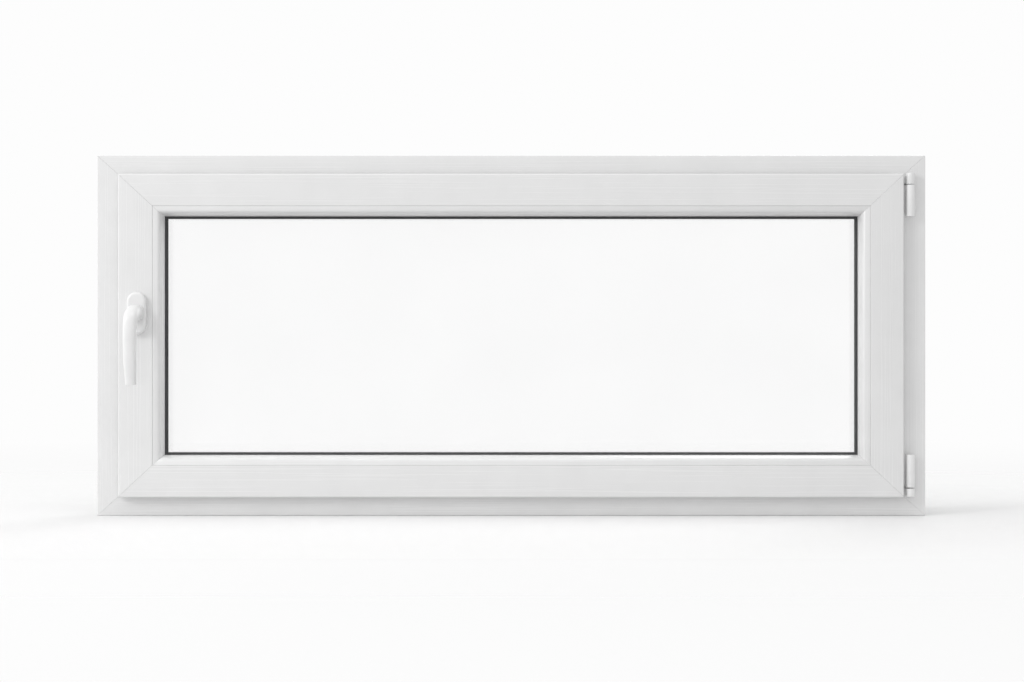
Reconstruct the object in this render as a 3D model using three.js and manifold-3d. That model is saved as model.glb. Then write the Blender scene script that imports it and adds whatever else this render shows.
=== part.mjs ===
// Casement window with tilt-and-turn fittings: a white PVC-U frame and an inward-opening sash with a double-glazed unit.
// Millimetres. +X is to the right seen from the room, +Y points outdoors and +Z is up. The origin is the middle of the
// frame's underside. The handle and its lock are on the left upright, the hinges on the right one.
import * as THREE from "three";
import { mergeVertices } from "three/addons/utils/BufferGeometryUtils.js";
import Module from "manifold-3d";

const wasm = await Module();
wasm.setup();

// ---------- Driving dimensions ----------

const WIDTH = 1380;
const HEIGHT = 600;
const UPRIGHT_RATIO = 1.12; // the uprights' sections are this much wider than the rails'

const FRAME_DEPTH = 70;
const FRAME_FACE = 33; // frame face left in sight round the sash
const OVERLAP = 7; // how far the sash's lip covers the frame
const SASH_GAP = 10.5; // rebate gap between frame and sash, where the fittings run
const STOP_HEIGHT = 19.5; // the frame's weather stop
const STOP_DEPTH = 15;
const SEAL_GAP = 4; // room for a seal, behind the lip and in front of the stop

const SASH_PROUD = 17;
const SASH_FACE = 51.9;
const LIP_SETBACK = 2.4; // how much further in the lip stops on the uprights
const GLAZING_STOP_DEPTH = 16;
const PVC_WALL = 2.8;
const BEAD_FLAT = 7.6;
const BEAD_SLANT = 7.8;
const SEAL_SHOW = 4.3; // width of the room's glazing seal in sight past the bead
const OUTER_SEAL_SHOW = 0.8; // and of the weather one past the glazing stop
const PANE = 4;
const CAVITY = 16;
const GLAZING_SEAL = 3.5;
const GLASS_COVER = 13.3; // how far the bead covers the glass

const CLEARANCE = 0.3; // gap left wherever two fixed pieces meet
const ARC_STEPS = 3;
const ROUND_STEPS = 32;

const STEEL_WALL = 1.5;
const STEEL_SETBACK = 12; // how far a steel stops short of the mitre's inner corner

// Fittings in the sash's hardware groove
const GROOVE_SETBACK = 13; // groove centre behind the lip's back
const FACEPLATE_WIDTH = 16;
const FACEPLATE = 2.4;
const REBATE_DEPTH = 2.8;
const CHANNEL_WIDTH = 12.4;
const CHANNEL_DEPTH = 12.5;
const ROD_WIDTH = 8.4;
const ROD = 2.4;
const CORNER_LEG = 92;
const CAM_RADIUS = 5;
const CAM_NECK_RADIUS = 4;
const CAM_REACH = 6.5;
const KEEP_LENGTH = 66;
const KEEP_BASE = 2;
const KEEP_LIP = 2.9;
const KEEP_WALL = 6.8;
const LOWER_CAM_MARGIN = 57.5; // from the lower corner drive's end to the first cam
const UPPER_CAM_MARGIN = 14; // from the upper corner drive's end to the second cam
const RAIL_CAM_SETBACK = 300; // from the sash's lock edge to the cam on each rail

// Lock gear and handle
const RACK_WALL = 1.74; // metal left behind the rack's teeth
const HANDLE_HEIGHT = 337;
const GEAR_TEETH = 12;
const GEAR_MODULE = 1.3;
const GEAR_WIDTH = 7.4;
const PRESSURE_ANGLE = THREE.MathUtils.degToRad(20);
const BACKLASH = 0.3;
const GEAR_BOSS_RADIUS = 5.6;
const SPINDLE = 7;
const CASE_HEIGHT = 92;
const CASE_WIDTH = 12;
const CASE_WALL = 1.4;
const SCREW_PITCH = 43; // between the two handle screws
const ROSETTE_WIDTH = 32;
const ROSETTE_HEIGHT = 70;
const ROSETTE_DEPTH = 11;
const ROSETTE_WALL = 2;
const HUB_RADIUS = 13.8;
const LEVER_LENGTH = 117.5; // from the spindle axis to the tip
const LEVER_STANDOFF = 50; // from the sash's face to the grip's middle
const LEVER_WIDTHS = [27, 23.5, 22.8, 18];
const LEVER_THICKNESSES = [27, 17, 15, 12.5];

// Hinges
const HINGE_OFFSET = 12.3; // hinge axis beyond the lip's edge
const HINGE_PROUD = 9; // hinge axis in front of the frame's face
const BARREL_RADIUS = 7.1;
const METAL_RADIUS = 6.1;
const PIN_RADIUS = 3;
const LEAF = SEAL_GAP - 1.1; // hinge leaves pass between the sash's lip and the frame
const LEAF_REACH = 14; // how far the stay arm's leaf runs in past the frame's rebate
const TILT_HEIGHT = FRAME_FACE + 7; // height of the axis that the sash tilts about
const TILT_BALL = 3.2;
const LOWER_BARREL = [FRAME_FACE, FRAME_FACE + 12.8];
const BAND_BARREL = [FRAME_FACE + 15.1, FRAME_FACE + 69.4];
const STAY_BARREL_LENGTH = 52.2;
const STAY_KNUCKLE_LENGTH = 18.1;
const STAY_KNUCKLE_DROP = 1.3; // the knuckle's lower end below the arm
const BARREL_GAP = 1.2;
const STAY_LENGTH = 250;
const STAY_WIDTH = 14;
const STAY_THICKNESS = 3;
const STAY_LIFT = 3.3; // the arm's underside above the sash's edge

// ---------- Levels worked out from them ----------

// Across a section: distance in from the frame's outer edge, on a rail
const U = {};
U.rebate = FRAME_FACE + OVERLAP;
U.stopTop = U.rebate + STOP_HEIGHT;
U.body = U.rebate + SASH_GAP;
U.joint = FRAME_FACE + SASH_FACE;
U.bead = U.joint + CLEARANCE;
U.beadBreak = U.joint + BEAD_FLAT;
U.sight = U.beadBreak + BEAD_SLANT;
U.sealEdge = U.sight + SEAL_SHOW;
U.outerSealEdge = U.sight + OUTER_SEAL_SHOW;
U.glazingBase = U.joint - 2.5;
U.glass = U.sight - GLASS_COVER;

// Through a section: depth, from the room to outdoors
const V = {};
V.frameRoom = -FRAME_DEPTH / 2;
V.frameWeather = FRAME_DEPTH / 2;
V.stop = V.frameWeather - STOP_DEPTH;
V.sashWeather = V.stop - SEAL_GAP;
V.sashRoom = V.frameRoom - SASH_PROUD;
V.lipBack = V.frameRoom - SEAL_GAP;
V.groove = V.lipBack + GROOVE_SETBACK;
V.glazingStop = V.sashWeather - GLAZING_STOP_DEPTH;
V.glassOut = V.glazingStop - GLAZING_SEAL;
V.glassIn = V.glassOut - 2 * PANE - CAVITY;
V.beadBack = V.glassIn - GLAZING_SEAL;
V.beadFront = V.sashRoom + 0.5;
V.hinge = V.frameRoom - HINGE_PROUD;

// How near a section point is to the lip's edge: 1 at the edge, 0 beyond the overlap
const lipShare = (u) => Math.max(0, 1 - Math.abs(u - FRAME_FACE) / OVERLAP);
// X of a section point on the right upright
const acrossX = (u) => WIDTH / 2 - UPRIGHT_RATIO * u - LIP_SETBACK * lipShare(u);
const HINGE_X = acrossX(FRAME_FACE) + HINGE_OFFSET;
const GEAR_RADIUS = (GEAR_TEETH * GEAR_MODULE) / 2;
const GEAR_ROOT = 1.2 * GEAR_MODULE; // tooth depth below the pitch line
const CASE_BACK = GEAR_RADIUS + GEAR_MODULE + 1.9; // gear case behind the spindle axis
const TRAVEL = Math.PI * GEAR_RADIUS; // rod travel over the handle's half turn
const SASH_TOP = HEIGHT - U.body;
const SASH_BOTTOM = U.body;
const SASH_LEFT = -acrossX(U.body);
const UPRIGHT_GAP = SASH_GAP * UPRIGHT_RATIO;

// Out of the sash's edge: the faceplates lie just under it, with the rods behind them
const PLATE_TOP = -0.1;
const plateSpan = [PLATE_TOP - FACEPLATE, PLATE_TOP];
const rodSpan = [plateSpan[0] - CLEARANCE - ROD, plateSpan[0] - CLEARANCE];
const SPINDLE_X = SASH_LEFT - rodSpan[1] + RACK_WALL + GEAR_ROOT + GEAR_RADIUS;
const LOCK_CAM_HEIGHTS = [
  SASH_BOTTOM + CORNER_LEG + LOWER_CAM_MARGIN,
  SASH_TOP - CORNER_LEG - UPPER_CAM_MARGIN,
];
const RAIL_CAM_X = SASH_LEFT + RAIL_CAM_SETBACK;
const STAY_UNDER = SASH_TOP + STAY_LIFT;
const STAY_KNUCKLE = [STAY_UNDER - STAY_KNUCKLE_DROP, STAY_UNDER - STAY_KNUCKLE_DROP + STAY_KNUCKLE_LENGTH];
const STAY_BARREL_TOP = STAY_KNUCKLE[0] - BARREL_GAP;
const STAY_BARREL = [STAY_BARREL_TOP - STAY_BARREL_LENGTH, STAY_BARREL_TOP];

// ---------- Solids and meshes ----------

// A closed geometry as a manifold-3d solid, turned to face out if its faces point in.
function solid(geometry) {
  const bare = new THREE.BufferGeometry();
  bare.setAttribute("position", geometry.getAttribute("position"));
  if (geometry.index) bare.setIndex(geometry.index);
  const merged = mergeVertices(bare, 1e-3);
  const triangles = new Uint32Array(merged.index.array);
  const make = () =>
    new wasm.Manifold(
      new wasm.Mesh({
        numProp: 3,
        vertProperties: merged.attributes.position.array,
        triVerts: triangles,
      }),
    );
  const made = make();
  if (made.volume() > 0) return made;
  for (let i = 0; i < triangles.length; i += 3) {
    [triangles[i + 1], triangles[i + 2]] = [triangles[i + 2], triangles[i + 1]];
  }
  return make();
}

function geometryOf(made) {
  const { vertProperties, triVerts, numProp, numVert } = made.getMesh();
  const points = new Float32Array(numVert * 3);
  for (let i = 0; i < numVert; i++) {
    points.set(vertProperties.subarray(i * numProp, i * numProp + 3), i * 3);
  }
  const geometry = new THREE.BufferGeometry();
  geometry.setAttribute("position", new THREE.BufferAttribute(points, 3));
  geometry.setIndex(new THREE.BufferAttribute(triVerts, 1));
  return geometry;
}

const joined = (...solids) => solids.reduce((whole, next) => whole.add(next));
const cut = (from, ...tools) => tools.reduce((left, tool) => left.subtract(tool), from);

const window_ = new THREE.Group();
window_.name = "casement_window";

function piece(name, made, material) {
  const mesh = new THREE.Mesh(made.isBufferGeometry ? made : geometryOf(made), material);
  mesh.geometry.computeVertexNormals();
  mesh.name = name;
  window_.add(mesh);
  return mesh;
}

const finish = (color, roughness, metalness = 0) =>
  new THREE.MeshStandardMaterial({ color, roughness, metalness });
const PVC = finish(0xf1f2f2, 0.35);
const COATED = finish(0xf3f3f3, 0.4);
const CAP = finish(0xf4f4f4, 0.35);
const RUBBER = finish(0x2c2c2e, 0.7);
const GLASS = new THREE.MeshStandardMaterial({ color: 0xeef6f4, roughness: 0.05, transparent: true, opacity: 0.25 });
const STEEL = finish(0xb9bdc0, 0.4, 0.9);
const ZINC = finish(0xc9cccf, 0.35, 0.85);
const ALUMINIUM = finish(0xa9adb0, 0.4, 0.8);
const SEALANT = finish(0x3a3a3c, 0.8);
const BLUE_PLASTIC = finish(0x3f6fa8, 0.5);

// ---------- Section outlines ----------

// A closed outline from [u, v] points; a third number rounds that corner.
function outline(points, chambers = []) {
  const shape = new THREE.Shape();
  const corners = points.map(([u, v, radius = 0]) => ({ at: new THREE.Vector2(u, v), radius }));
  corners.forEach(({ at, radius }, i) => {
    const before = corners[(i + corners.length - 1) % corners.length].at;
    const after = corners[(i + 1) % corners.length].at;
    const start = at.clone().add(before.clone().sub(at).setLength(radius));
    const end = at.clone().add(after.clone().sub(at).setLength(radius));
    if (i === 0) shape.moveTo(start.x, start.y);
    else shape.lineTo(start.x, start.y);
    if (radius) shape.quadraticCurveTo(at.x, at.y, end.x, end.y);
  });
  shape.closePath();
  for (const [u0, u1, v0, v1] of chambers) {
    shape.holes.push(
      new THREE.Path([
        new THREE.Vector2(u0, v0),
        new THREE.Vector2(u0, v1),
        new THREE.Vector2(u1, v1),
        new THREE.Vector2(u1, v0),
      ]),
    );
  }
  return shape;
}

const SEAL_GROOVE = 3; // width of the grooves that hold the seals
const SEAL_GROOVE_DEPTH = 2.6;
const FRAME_SEAL_U = U.stopTop - 4.5;
const LIP_SEAL_U = FRAME_FACE + 8;
const OUTER_SEAL_U = U.sight - 5.4;
const HALF_GROOVE = SEAL_GROOVE / 2;

function frameSection() {
  const wall = PVC_WALL;
  const anchorGroove = 4; // half-width and depth of the two wall-side grooves come from here
  const steelEnd = 8;
  return outline(
    [
      [0, V.frameRoom, 1.2],
      [U.rebate, V.frameRoom, 0.8],
      [U.rebate, V.stop],
      [FRAME_SEAL_U - HALF_GROOVE, V.stop],
      [FRAME_SEAL_U - HALF_GROOVE, V.stop + SEAL_GROOVE_DEPTH],
      [FRAME_SEAL_U + HALF_GROOVE, V.stop + SEAL_GROOVE_DEPTH],
      [FRAME_SEAL_U + HALF_GROOVE, V.stop],
      [U.stopTop, V.stop, 1],
      [U.stopTop - 5, V.frameWeather, 2],
      [0, V.frameWeather, 1.2],
      [0, 20 + anchorGroove],
      [2.2, 20 + anchorGroove],
      [2.2, 20 - anchorGroove],
      [0, 20 - anchorGroove],
      [0, -20 + anchorGroove],
      [2.2, -20 + anchorGroove],
      [2.2, -20 - anchorGroove],
      [0, -20 - anchorGroove],
    ],
    [
      [2.2 + wall, U.rebate - wall, V.frameRoom + wall, -21.5],
      [2.2 + wall, U.rebate - wall, -21.5 + wall, steelEnd],
      [2.2 + wall, U.rebate - wall, steelEnd + wall, V.stop + SEAL_GROOVE_DEPTH],
      [2.2 + wall, U.rebate + 11, V.stop + SEAL_GROOVE_DEPTH + wall, V.frameWeather - wall],
    ],
  );
}
const FRAME_STEEL = [2.2 + PVC_WALL, U.rebate - PVC_WALL, -21.5 + PVC_WALL, 8];

const CHANNEL_END = U.body + CHANNEL_DEPTH;
const BEAD_GROOVE = [V.sashRoom + 8, V.sashRoom + 11.4]; // the groove that the bead's foot clips into
const BEAD_GROOVE_U = U.glazingBase - 3.2;
const SASH_STEEL = [CHANNEL_END + PVC_WALL, U.glazingBase - PVC_WALL, V.groove - 8.5, V.glazingStop + 2];

function sashSection() {
  const wall = PVC_WALL;
  const halfPlate = FACEPLATE_WIDTH / 2 + 0.2;
  const halfChannel = CHANNEL_WIDTH / 2;
  return outline(
    [
      [FRAME_FACE, V.sashRoom, 2.5],
      [U.joint - CLEARANCE, V.sashRoom, 0.6],
      [U.joint - CLEARANCE, V.sashRoom + 5],
      [U.glazingBase, V.sashRoom + 5],
      [U.glazingBase, BEAD_GROOVE[0]],
      [BEAD_GROOVE_U, BEAD_GROOVE[0]],
      [BEAD_GROOVE_U, BEAD_GROOVE[1]],
      [U.glazingBase, BEAD_GROOVE[1]],
      [U.glazingBase, V.glazingStop],
      [OUTER_SEAL_U - HALF_GROOVE, V.glazingStop],
      [OUTER_SEAL_U - HALF_GROOVE, V.glazingStop + SEAL_GROOVE_DEPTH],
      [OUTER_SEAL_U + HALF_GROOVE, V.glazingStop + SEAL_GROOVE_DEPTH],
      [OUTER_SEAL_U + HALF_GROOVE, V.glazingStop],
      [U.sight, V.glazingStop, 0.8],
      [U.sight, V.glazingStop + 3, 1],
      [U.sight - 6.4, V.sashWeather, 2],
      [U.body, V.sashWeather, 2],
      [U.body, V.groove + halfPlate],
      [U.body + REBATE_DEPTH, V.groove + halfPlate],
      [U.body + REBATE_DEPTH, V.groove + halfChannel],
      [CHANNEL_END, V.groove + halfChannel],
      [CHANNEL_END, V.groove - halfChannel],
      [U.body + REBATE_DEPTH, V.groove - halfChannel],
      [U.body + REBATE_DEPTH, V.groove - halfPlate],
      [U.body, V.groove - halfPlate],
      [U.body, V.lipBack],
      [LIP_SEAL_U + HALF_GROOVE, V.lipBack],
      [LIP_SEAL_U + HALF_GROOVE, V.lipBack - SEAL_GROOVE_DEPTH],
      [LIP_SEAL_U - HALF_GROOVE, V.lipBack - SEAL_GROOVE_DEPTH],
      [LIP_SEAL_U - HALF_GROOVE, V.lipBack],
      [FRAME_FACE, V.lipBack, 1],
    ],
    [
      [FRAME_FACE + wall, BEAD_GROOVE_U - wall, V.sashRoom + wall, V.lipBack - SEAL_GROOVE_DEPTH - wall],
      [U.body + wall, BEAD_GROOVE_U - wall, V.lipBack - wall, V.groove - halfPlate - wall],
      [U.body + wall, CHANNEL_END, V.groove + halfPlate + wall, V.sashWeather - wall],
      SASH_STEEL,
      [CHANNEL_END + wall, U.sight - 10, SASH_STEEL[3] + wall, V.sashWeather - wall],
    ],
  );
}

function beadSection() {
  const shape = new THREE.Shape();
  const foot = [BEAD_GROOVE[0] + CLEARANCE, BEAD_GROOVE[1] - CLEARANCE];
  const base = U.glazingBase + CLEARANCE;
  shape.moveTo(U.bead, V.beadFront + 0.8);
  shape.quadraticCurveTo(U.bead, V.beadFront, U.bead + 0.8, V.beadFront);
  shape.lineTo(U.beadBreak - 1, V.beadFront);
  shape.bezierCurveTo(
    U.beadBreak + 3.5,
    V.beadFront,
    U.sight - 2.6,
    V.beadFront + 8,
    U.sight,
    V.beadBack - 1.6,
  );
  shape.lineTo(U.sight, V.beadBack);
  shape.lineTo(base, V.beadBack);
  shape.lineTo(base, foot[1]);
  shape.lineTo(BEAD_GROOVE_U + CLEARANCE, foot[1]);
  shape.lineTo(BEAD_GROOVE_U + CLEARANCE, foot[0]);
  shape.lineTo(base, foot[0]);
  shape.lineTo(base, V.sashRoom + 5 + CLEARANCE);
  shape.lineTo(U.bead, V.sashRoom + 5 + CLEARANCE);
  shape.closePath();
  shape.holes.push(
    new THREE.Path([
      new THREE.Vector2(U.bead + 2, V.beadFront + 2.2),
      new THREE.Vector2(U.bead + 2, V.beadBack - 2),
      new THREE.Vector2(U.sight - 3.4, V.beadBack - 2),
      new THREE.Vector2(U.beadBreak, V.beadFront + 2.2),
    ]),
  );
  return shape;
}

// The U-shaped steel that stiffens a profile, open towards the hardware groove.
function steelSection([u0, u1, v0, v1]) {
  const fit = 0.5;
  const wall = STEEL_WALL;
  return outline([
    [u0 + fit, v0 + fit],
    [u1 - fit, v0 + fit],
    [u1 - fit, v1 - fit],
    [u0 + fit, v1 - fit],
    [u0 + fit, v1 - fit - wall],
    [u1 - fit - wall, v1 - fit - wall],
    [u1 - fit - wall, v0 + fit + wall],
    [u0 + fit, v0 + fit + wall],
  ]);
}

// Seal sections: a foot in its groove, and a lip that leans on the other part.
function sealSection(grooveU, grooveV, toGroove, lip) {
  const foot = HALF_GROOVE - CLEARANCE;
  const face = grooveV - toGroove * CLEARANCE;
  const bottom = grooveV + toGroove * (SEAL_GROOVE_DEPTH - CLEARANCE);
  return outline([
    [grooveU - foot, bottom],
    [grooveU + foot, bottom],
    [grooveU + foot, face],
    ...lip,
    [grooveU - foot, face],
  ]);
}

const frameSeal = sealSection(FRAME_SEAL_U, V.stop, 1, [
  [FRAME_SEAL_U + 3, V.stop - CLEARANCE - 1.2],
  [FRAME_SEAL_U + 2.4, V.sashWeather + CLEARANCE],
  [FRAME_SEAL_U - 1.6, V.sashWeather + CLEARANCE + 0.6],
]);
const lipSeal = sealSection(LIP_SEAL_U, V.lipBack, -1, [
  [LIP_SEAL_U - 1.6, V.frameRoom - CLEARANCE],
  [LIP_SEAL_U - 4.6, V.frameRoom - CLEARANCE],
  [LIP_SEAL_U - 5.2, V.frameRoom - CLEARANCE - 1],
]);
const outerGlazingSeal = sealSection(OUTER_SEAL_U, V.glazingStop, 1, [
  [U.sight, V.glazingStop - CLEARANCE],
  [U.outerSealEdge - 0.2, V.glassOut + 1.6],
  [U.outerSealEdge, V.glassOut + CLEARANCE],
  [OUTER_SEAL_U - 3.5, V.glassOut + CLEARANCE],
  [OUTER_SEAL_U - 3.5, V.glazingStop - CLEARANCE],
]);
const beadSeal = outline([
  [U.bead + 4, V.beadBack + CLEARANCE],
  [U.sight + 0.4, V.beadBack + CLEARANCE],
  [U.sight + 1.4, V.beadBack - 1.1],
  [U.sealEdge - 0.6, V.glassIn - 1.7],
  [U.sealEdge, V.glassIn - CLEARANCE],
  [U.bead + 4, V.glassIn - CLEARANCE],
]);

// ---------- Members and rings that run round the window ----------

const BOTTOM_RIGHT = { x: 1, top: false };
const BOTTOM_LEFT = { x: -1, top: false };
const TOP_LEFT = { x: -1, top: true };
const TOP_RIGHT = { x: 1, top: true };
const CORNERS = [BOTTOM_RIGHT, BOTTOM_LEFT, TOP_LEFT, TOP_RIGHT];
const SIDES = { sill: 0, lock: 1, head: 2, hinge: 3 }; // each runs from its corner to the next one

function cornerPoint(corner, u, v) {
  return new THREE.Vector3(corner.x * acrossX(u), v, corner.top ? HEIGHT - u : u);
}

// A length of profile on one side. Its ends are mitred, or cut square where squareAt says how far in.
function bar(section, side, squareAt) {
  const start = CORNERS[SIDES[side]];
  const end = CORNERS[(SIDES[side] + 1) % 4];
  const along = start.top === end.top ? "x" : "z";
  const geometry = new THREE.ExtrudeGeometry(section, {
    depth: 1,
    bevelEnabled: false,
    curveSegments: ARC_STEPS,
  });
  const spots = geometry.attributes.position;
  for (let i = 0; i < spots.count; i++) {
    const [u, v, t] = [spots.getX(i), spots.getY(i), spots.getZ(i)];
    const near = cornerPoint(t < 0.5 ? start : end, u, v);
    const far = cornerPoint(t < 0.5 ? end : start, u, v);
    if (squareAt !== undefined) near[along] = cornerPoint(t < 0.5 ? start : end, squareAt, v)[along];
    near[along] += Math.sign(far[along] - near[along]) * CLEARANCE * 0.75;
    spots.setXYZ(i, near.x, near.y, near.z);
  }
  return geometry;
}

// A skin over rings of equal length: round on itself, or capped at both ends.
function skin(rings, closed) {
  const count = rings[0].length;
  const points = rings.flat().flatMap((p) => [p.x, p.y, p.z]);
  const faces = [];
  const last = closed ? rings.length : rings.length - 1;
  for (let i = 0; i < last; i++) {
    const here = i * count;
    const next = ((i + 1) % rings.length) * count;
    for (let j = 0; j < count; j++) {
      const k = (j + 1) % count;
      faces.push(here + j, here + k, next + k, here + j, next + k, next + j);
    }
  }
  if (!closed) {
    const top = (rings.length - 1) * count;
    for (let j = 1; j < count - 1; j++) faces.push(0, j + 1, j, top, top + j, top + j + 1);
  }
  const geometry = new THREE.BufferGeometry();
  geometry.setAttribute("position", new THREE.Float32BufferAttribute(points, 3));
  geometry.setIndex(faces);
  return geometry;
}

// One piece that runs all the way round with the given section, such as a seal.
function ring(section) {
  const points = section.extractPoints(ARC_STEPS).shape;
  if (THREE.ShapeUtils.isClockWise(points)) points.reverse();
  return skin(CORNERS.map((corner) => points.map((p) => cornerPoint(corner, p.x, p.y))), true);
}

// ---------- Boxes and turned pieces ----------

function block([x0, x1], [y0, y1], [z0, z1]) {
  const box = new THREE.BoxGeometry(x1 - x0, y1 - y0, z1 - z0);
  return solid(box.translate((x0 + x1) / 2, (y0 + y1) / 2, (z0 + z1) / 2));
}

// A solid of revolution about a vertical line, from [radius, height] points in a closed order.
function turned(profile, x = 0, y = 0, steps = ROUND_STEPS) {
  const points = profile.map(([radius, height]) => new THREE.Vector2(radius, height));
  const open = points[0].x === 0 && points.at(-1).x === 0;
  if (!open) points.push(points[0].clone());
  return solid(new THREE.LatheGeometry(points, steps).rotateX(Math.PI / 2).translate(x, y, 0));
}

const post = (radius, [z0, z1], x, y, steps) =>
  turned([[0, z0], [radius, z0], [radius, z1], [0, z1]], x, y, steps);

// A post with its axis along Y.
function pegY(radius, [y0, y1], x, z, steps = ROUND_STEPS) {
  const peg = new THREE.CylinderGeometry(radius, radius, y1 - y0, steps);
  return solid(peg.translate(x, (y0 + y1) / 2, z));
}

// Fittings on a sash edge are drawn as (along, depth, out of the edge), and this stands them on their side.
const EDGES = {
  lock: [new THREE.Vector3(0, 0, 1), new THREE.Vector3(-1, 0, 0), -acrossX(U.body)],
  head: [new THREE.Vector3(1, 0, 0), new THREE.Vector3(0, 0, 1), SASH_TOP],
  sill: [new THREE.Vector3(-1, 0, 0), new THREE.Vector3(0, 0, -1), U.body],
  hinge: [new THREE.Vector3(0, 0, -1), new THREE.Vector3(1, 0, 0), acrossX(U.body)],
};
function onEdge(side, made) {
  const [along, out, edge] = EDGES[side];
  const depth = new THREE.Vector3(0, 1, 0);
  const matrix = new THREE.Matrix4().makeBasis(along, depth, out);
  if (Math.abs(out.x) > 0) matrix.setPosition(edge, 0, 0);
  else matrix.setPosition(0, 0, edge);
  return solid(geometryOf(made).applyMatrix4(matrix));
}
// Where a world X or Z lies along its side.
const alongEdge = (side, at) => (side === "sill" || side === "hinge" ? -at : at);

// ---------- Frame ----------

for (const side of Object.keys(SIDES)) {
  const name = { sill: "frame_sill", lock: "frame_jamb_lock", head: "frame_head", hinge: "frame_jamb_hinge" }[side];
  piece(name, bar(frameSection(), side), PVC);
}
for (const side of ["head", "sill"]) {
  const steel = bar(steelSection(FRAME_STEEL), side, FRAME_STEEL[1] + STEEL_SETBACK);
  piece(`frame_steel_${side}`, steel, STEEL);
}
piece("frame_seal", ring(frameSeal), RUBBER);

// Keep that a cam slides into: a base on the rebate, a weather-side wall, and a low lip where the cam rests locked.
function keep(side, at, travel, gap) {
  const centre = alongEdge(side, at + travel / 2);
  const locked = alongEdge(side, at);
  const half = KEEP_LENGTH / 2;
  const foot = gap - CLEARANCE;
  const camSide = V.groove + CAM_RADIUS + 1;
  const base = block([centre - half, centre + half], [V.groove - 8, camSide + 4], [foot - KEEP_BASE, foot]);
  const wall = block([centre - half + 6, centre + half - 6], [camSide, camSide + 3.5], [foot - KEEP_WALL, foot]);
  const lip = block([locked - 7, locked + 7], [V.groove - 8, V.groove - 6.4], [foot - KEEP_LIP, foot]);
  const holes = [-1, 1].map((end) => post(2.2, [foot - 20, foot + 1], centre + end * (half - 6), V.groove - 1, 16));
  return onEdge(side, cut(joined(base, wall, lip), ...holes));
}
LOCK_CAM_HEIGHTS.forEach((height, i) => {
  const name = i === 0 ? "keep_lock_lower" : "keep_lock_upper";
  piece(name, keep("lock", height, -TRAVEL, UPRIGHT_GAP), ZINC);
});
piece("keep_top", keep("head", RAIL_CAM_X, -TRAVEL, SASH_GAP), ZINC);
piece("keep_bottom", keep("sill", RAIL_CAM_X, TRAVEL, SASH_GAP), ZINC);

// Clip-on hoods over the drain slots, on the outside of the sill.
for (const [name, x] of [["drain_hood_left", -WIDTH / 3], ["drain_hood_right", WIDTH / 3]]) {
  const [long, tall, proud] = [42, 12, 5];
  const z = 14;
  const skinAt = V.frameWeather + CLEARANCE;
  const hood = block([x - long / 2, x + long / 2], [skinAt, skinAt + proud], [z, z + tall]);
  const hollow = block(
    [x - long / 2 + 1.5, x + long / 2 - 1.5],
    [skinAt - 1, skinAt + proud - 1.5],
    [z - 1, z + tall - 2],
  );
  piece(name, cut(hood, hollow), CAP);
}

// ---------- Hinges, frame side ----------

const REBATE_X = acrossX(U.rebate);
const leafFrame = [V.frameRoom - CLEARANCE - LEAF, V.frameRoom - CLEARANCE];
const leafSash = [V.lipBack + CLEARANCE, V.lipBack + CLEARANCE + LEAF];
const tube = (outer, inner, [z0, z1], x, y) =>
  turned([[inner, z0], [outer, z0], [outer, z1], [inner, z1]], x, y);

// White sleeve round a barrel, with a slot at the back for the leaf.
function sleeve([z0, z1], leafDepth) {
  const shell = tube(BARREL_RADIUS, METAL_RADIUS + CLEARANCE, [z0, z1], HINGE_X, V.hinge);
  const slot = block(
    [HINGE_X - BARREL_RADIUS - 1, HINGE_X + METAL_RADIUS],
    [leafDepth[0] - CLEARANCE, V.hinge + BARREL_RADIUS + 1],
    [z0 - 1, z1 + 1],
  );
  return cut(shell, slot);
}

const screwHoleX = (y, z) =>
  solid(new THREE.CylinderGeometry(2.3, 2.3, 30, 16).rotateZ(Math.PI / 2).translate(REBATE_X, y, z));

// Stay bearing: a barrel on a cranked leaf, screwed into the hinge jamb's rebate.
{
  const flange = [REBATE_X - CLEARANCE - LEAF, REBATE_X - CLEARANCE];
  const barrel = post(METAL_RADIUS, STAY_BARREL, HINGE_X, V.hinge);
  const leaf = block([flange[0], HINGE_X + 2], leafFrame, STAY_BARREL);
  const foot = block(flange, [leafFrame[0], V.groove + 12], STAY_BARREL);
  const bore = post(PIN_RADIUS + 0.05, [STAY_BARREL[0] + 4, STAY_BARREL[1] + 1], HINGE_X, V.hinge, 24);
  const holes = [14, 38].map((rise) => screwHoleX(V.groove, STAY_BARREL[0] + rise));
  piece("stay_bearing", cut(joined(barrel, leaf, foot), bore, ...holes), COATED);
  piece("stay_bearing_sleeve", sleeve(STAY_BARREL, leafFrame), CAP);
}
{
  const flange = [REBATE_X - CLEARANCE - LEAF, REBATE_X - CLEARANCE];
  const barrel = post(METAL_RADIUS, LOWER_BARREL, HINGE_X, V.hinge);
  const leaf = block([flange[0], HINGE_X + 2], leafFrame, [LOWER_BARREL[0] + 5, LOWER_BARREL[1]]);
  const sillTop = U.rebate + CLEARANCE;
  const back = block(flange, [leafFrame[0], V.groove + 12], [sillTop, LOWER_BARREL[1]]);
  const tab = block(flange, [V.frameRoom + 1, V.groove + 12], [sillTop, LOWER_BARREL[1] + 14]);
  const shelf = block([REBATE_X - 52, flange[1]], [V.groove - 7, V.groove + 12], [sillTop, sillTop + LEAF]);
  const link = block([flange[0] - 6, flange[1]], [leafFrame[0], V.groove + 12], [sillTop, sillTop + LEAF]);
  const cup = post(5.2, [LOWER_BARREL[0] + 2.4, LOWER_BARREL[1] + 1], HINGE_X, V.hinge);
  const holes = [-40, -20].map((x) => post(2.3, [sillTop - 5, sillTop + 9], REBATE_X + x, V.groove + 2, 16));
  const made = cut(joined(barrel, leaf, back, tab, shelf, link), cup, ...holes, screwHoleX(V.groove + 2, 54));
  piece("corner_bearing", made, COATED);
  piece("corner_bearing_sleeve", sleeve(LOWER_BARREL, leafFrame), CAP);
}

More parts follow.
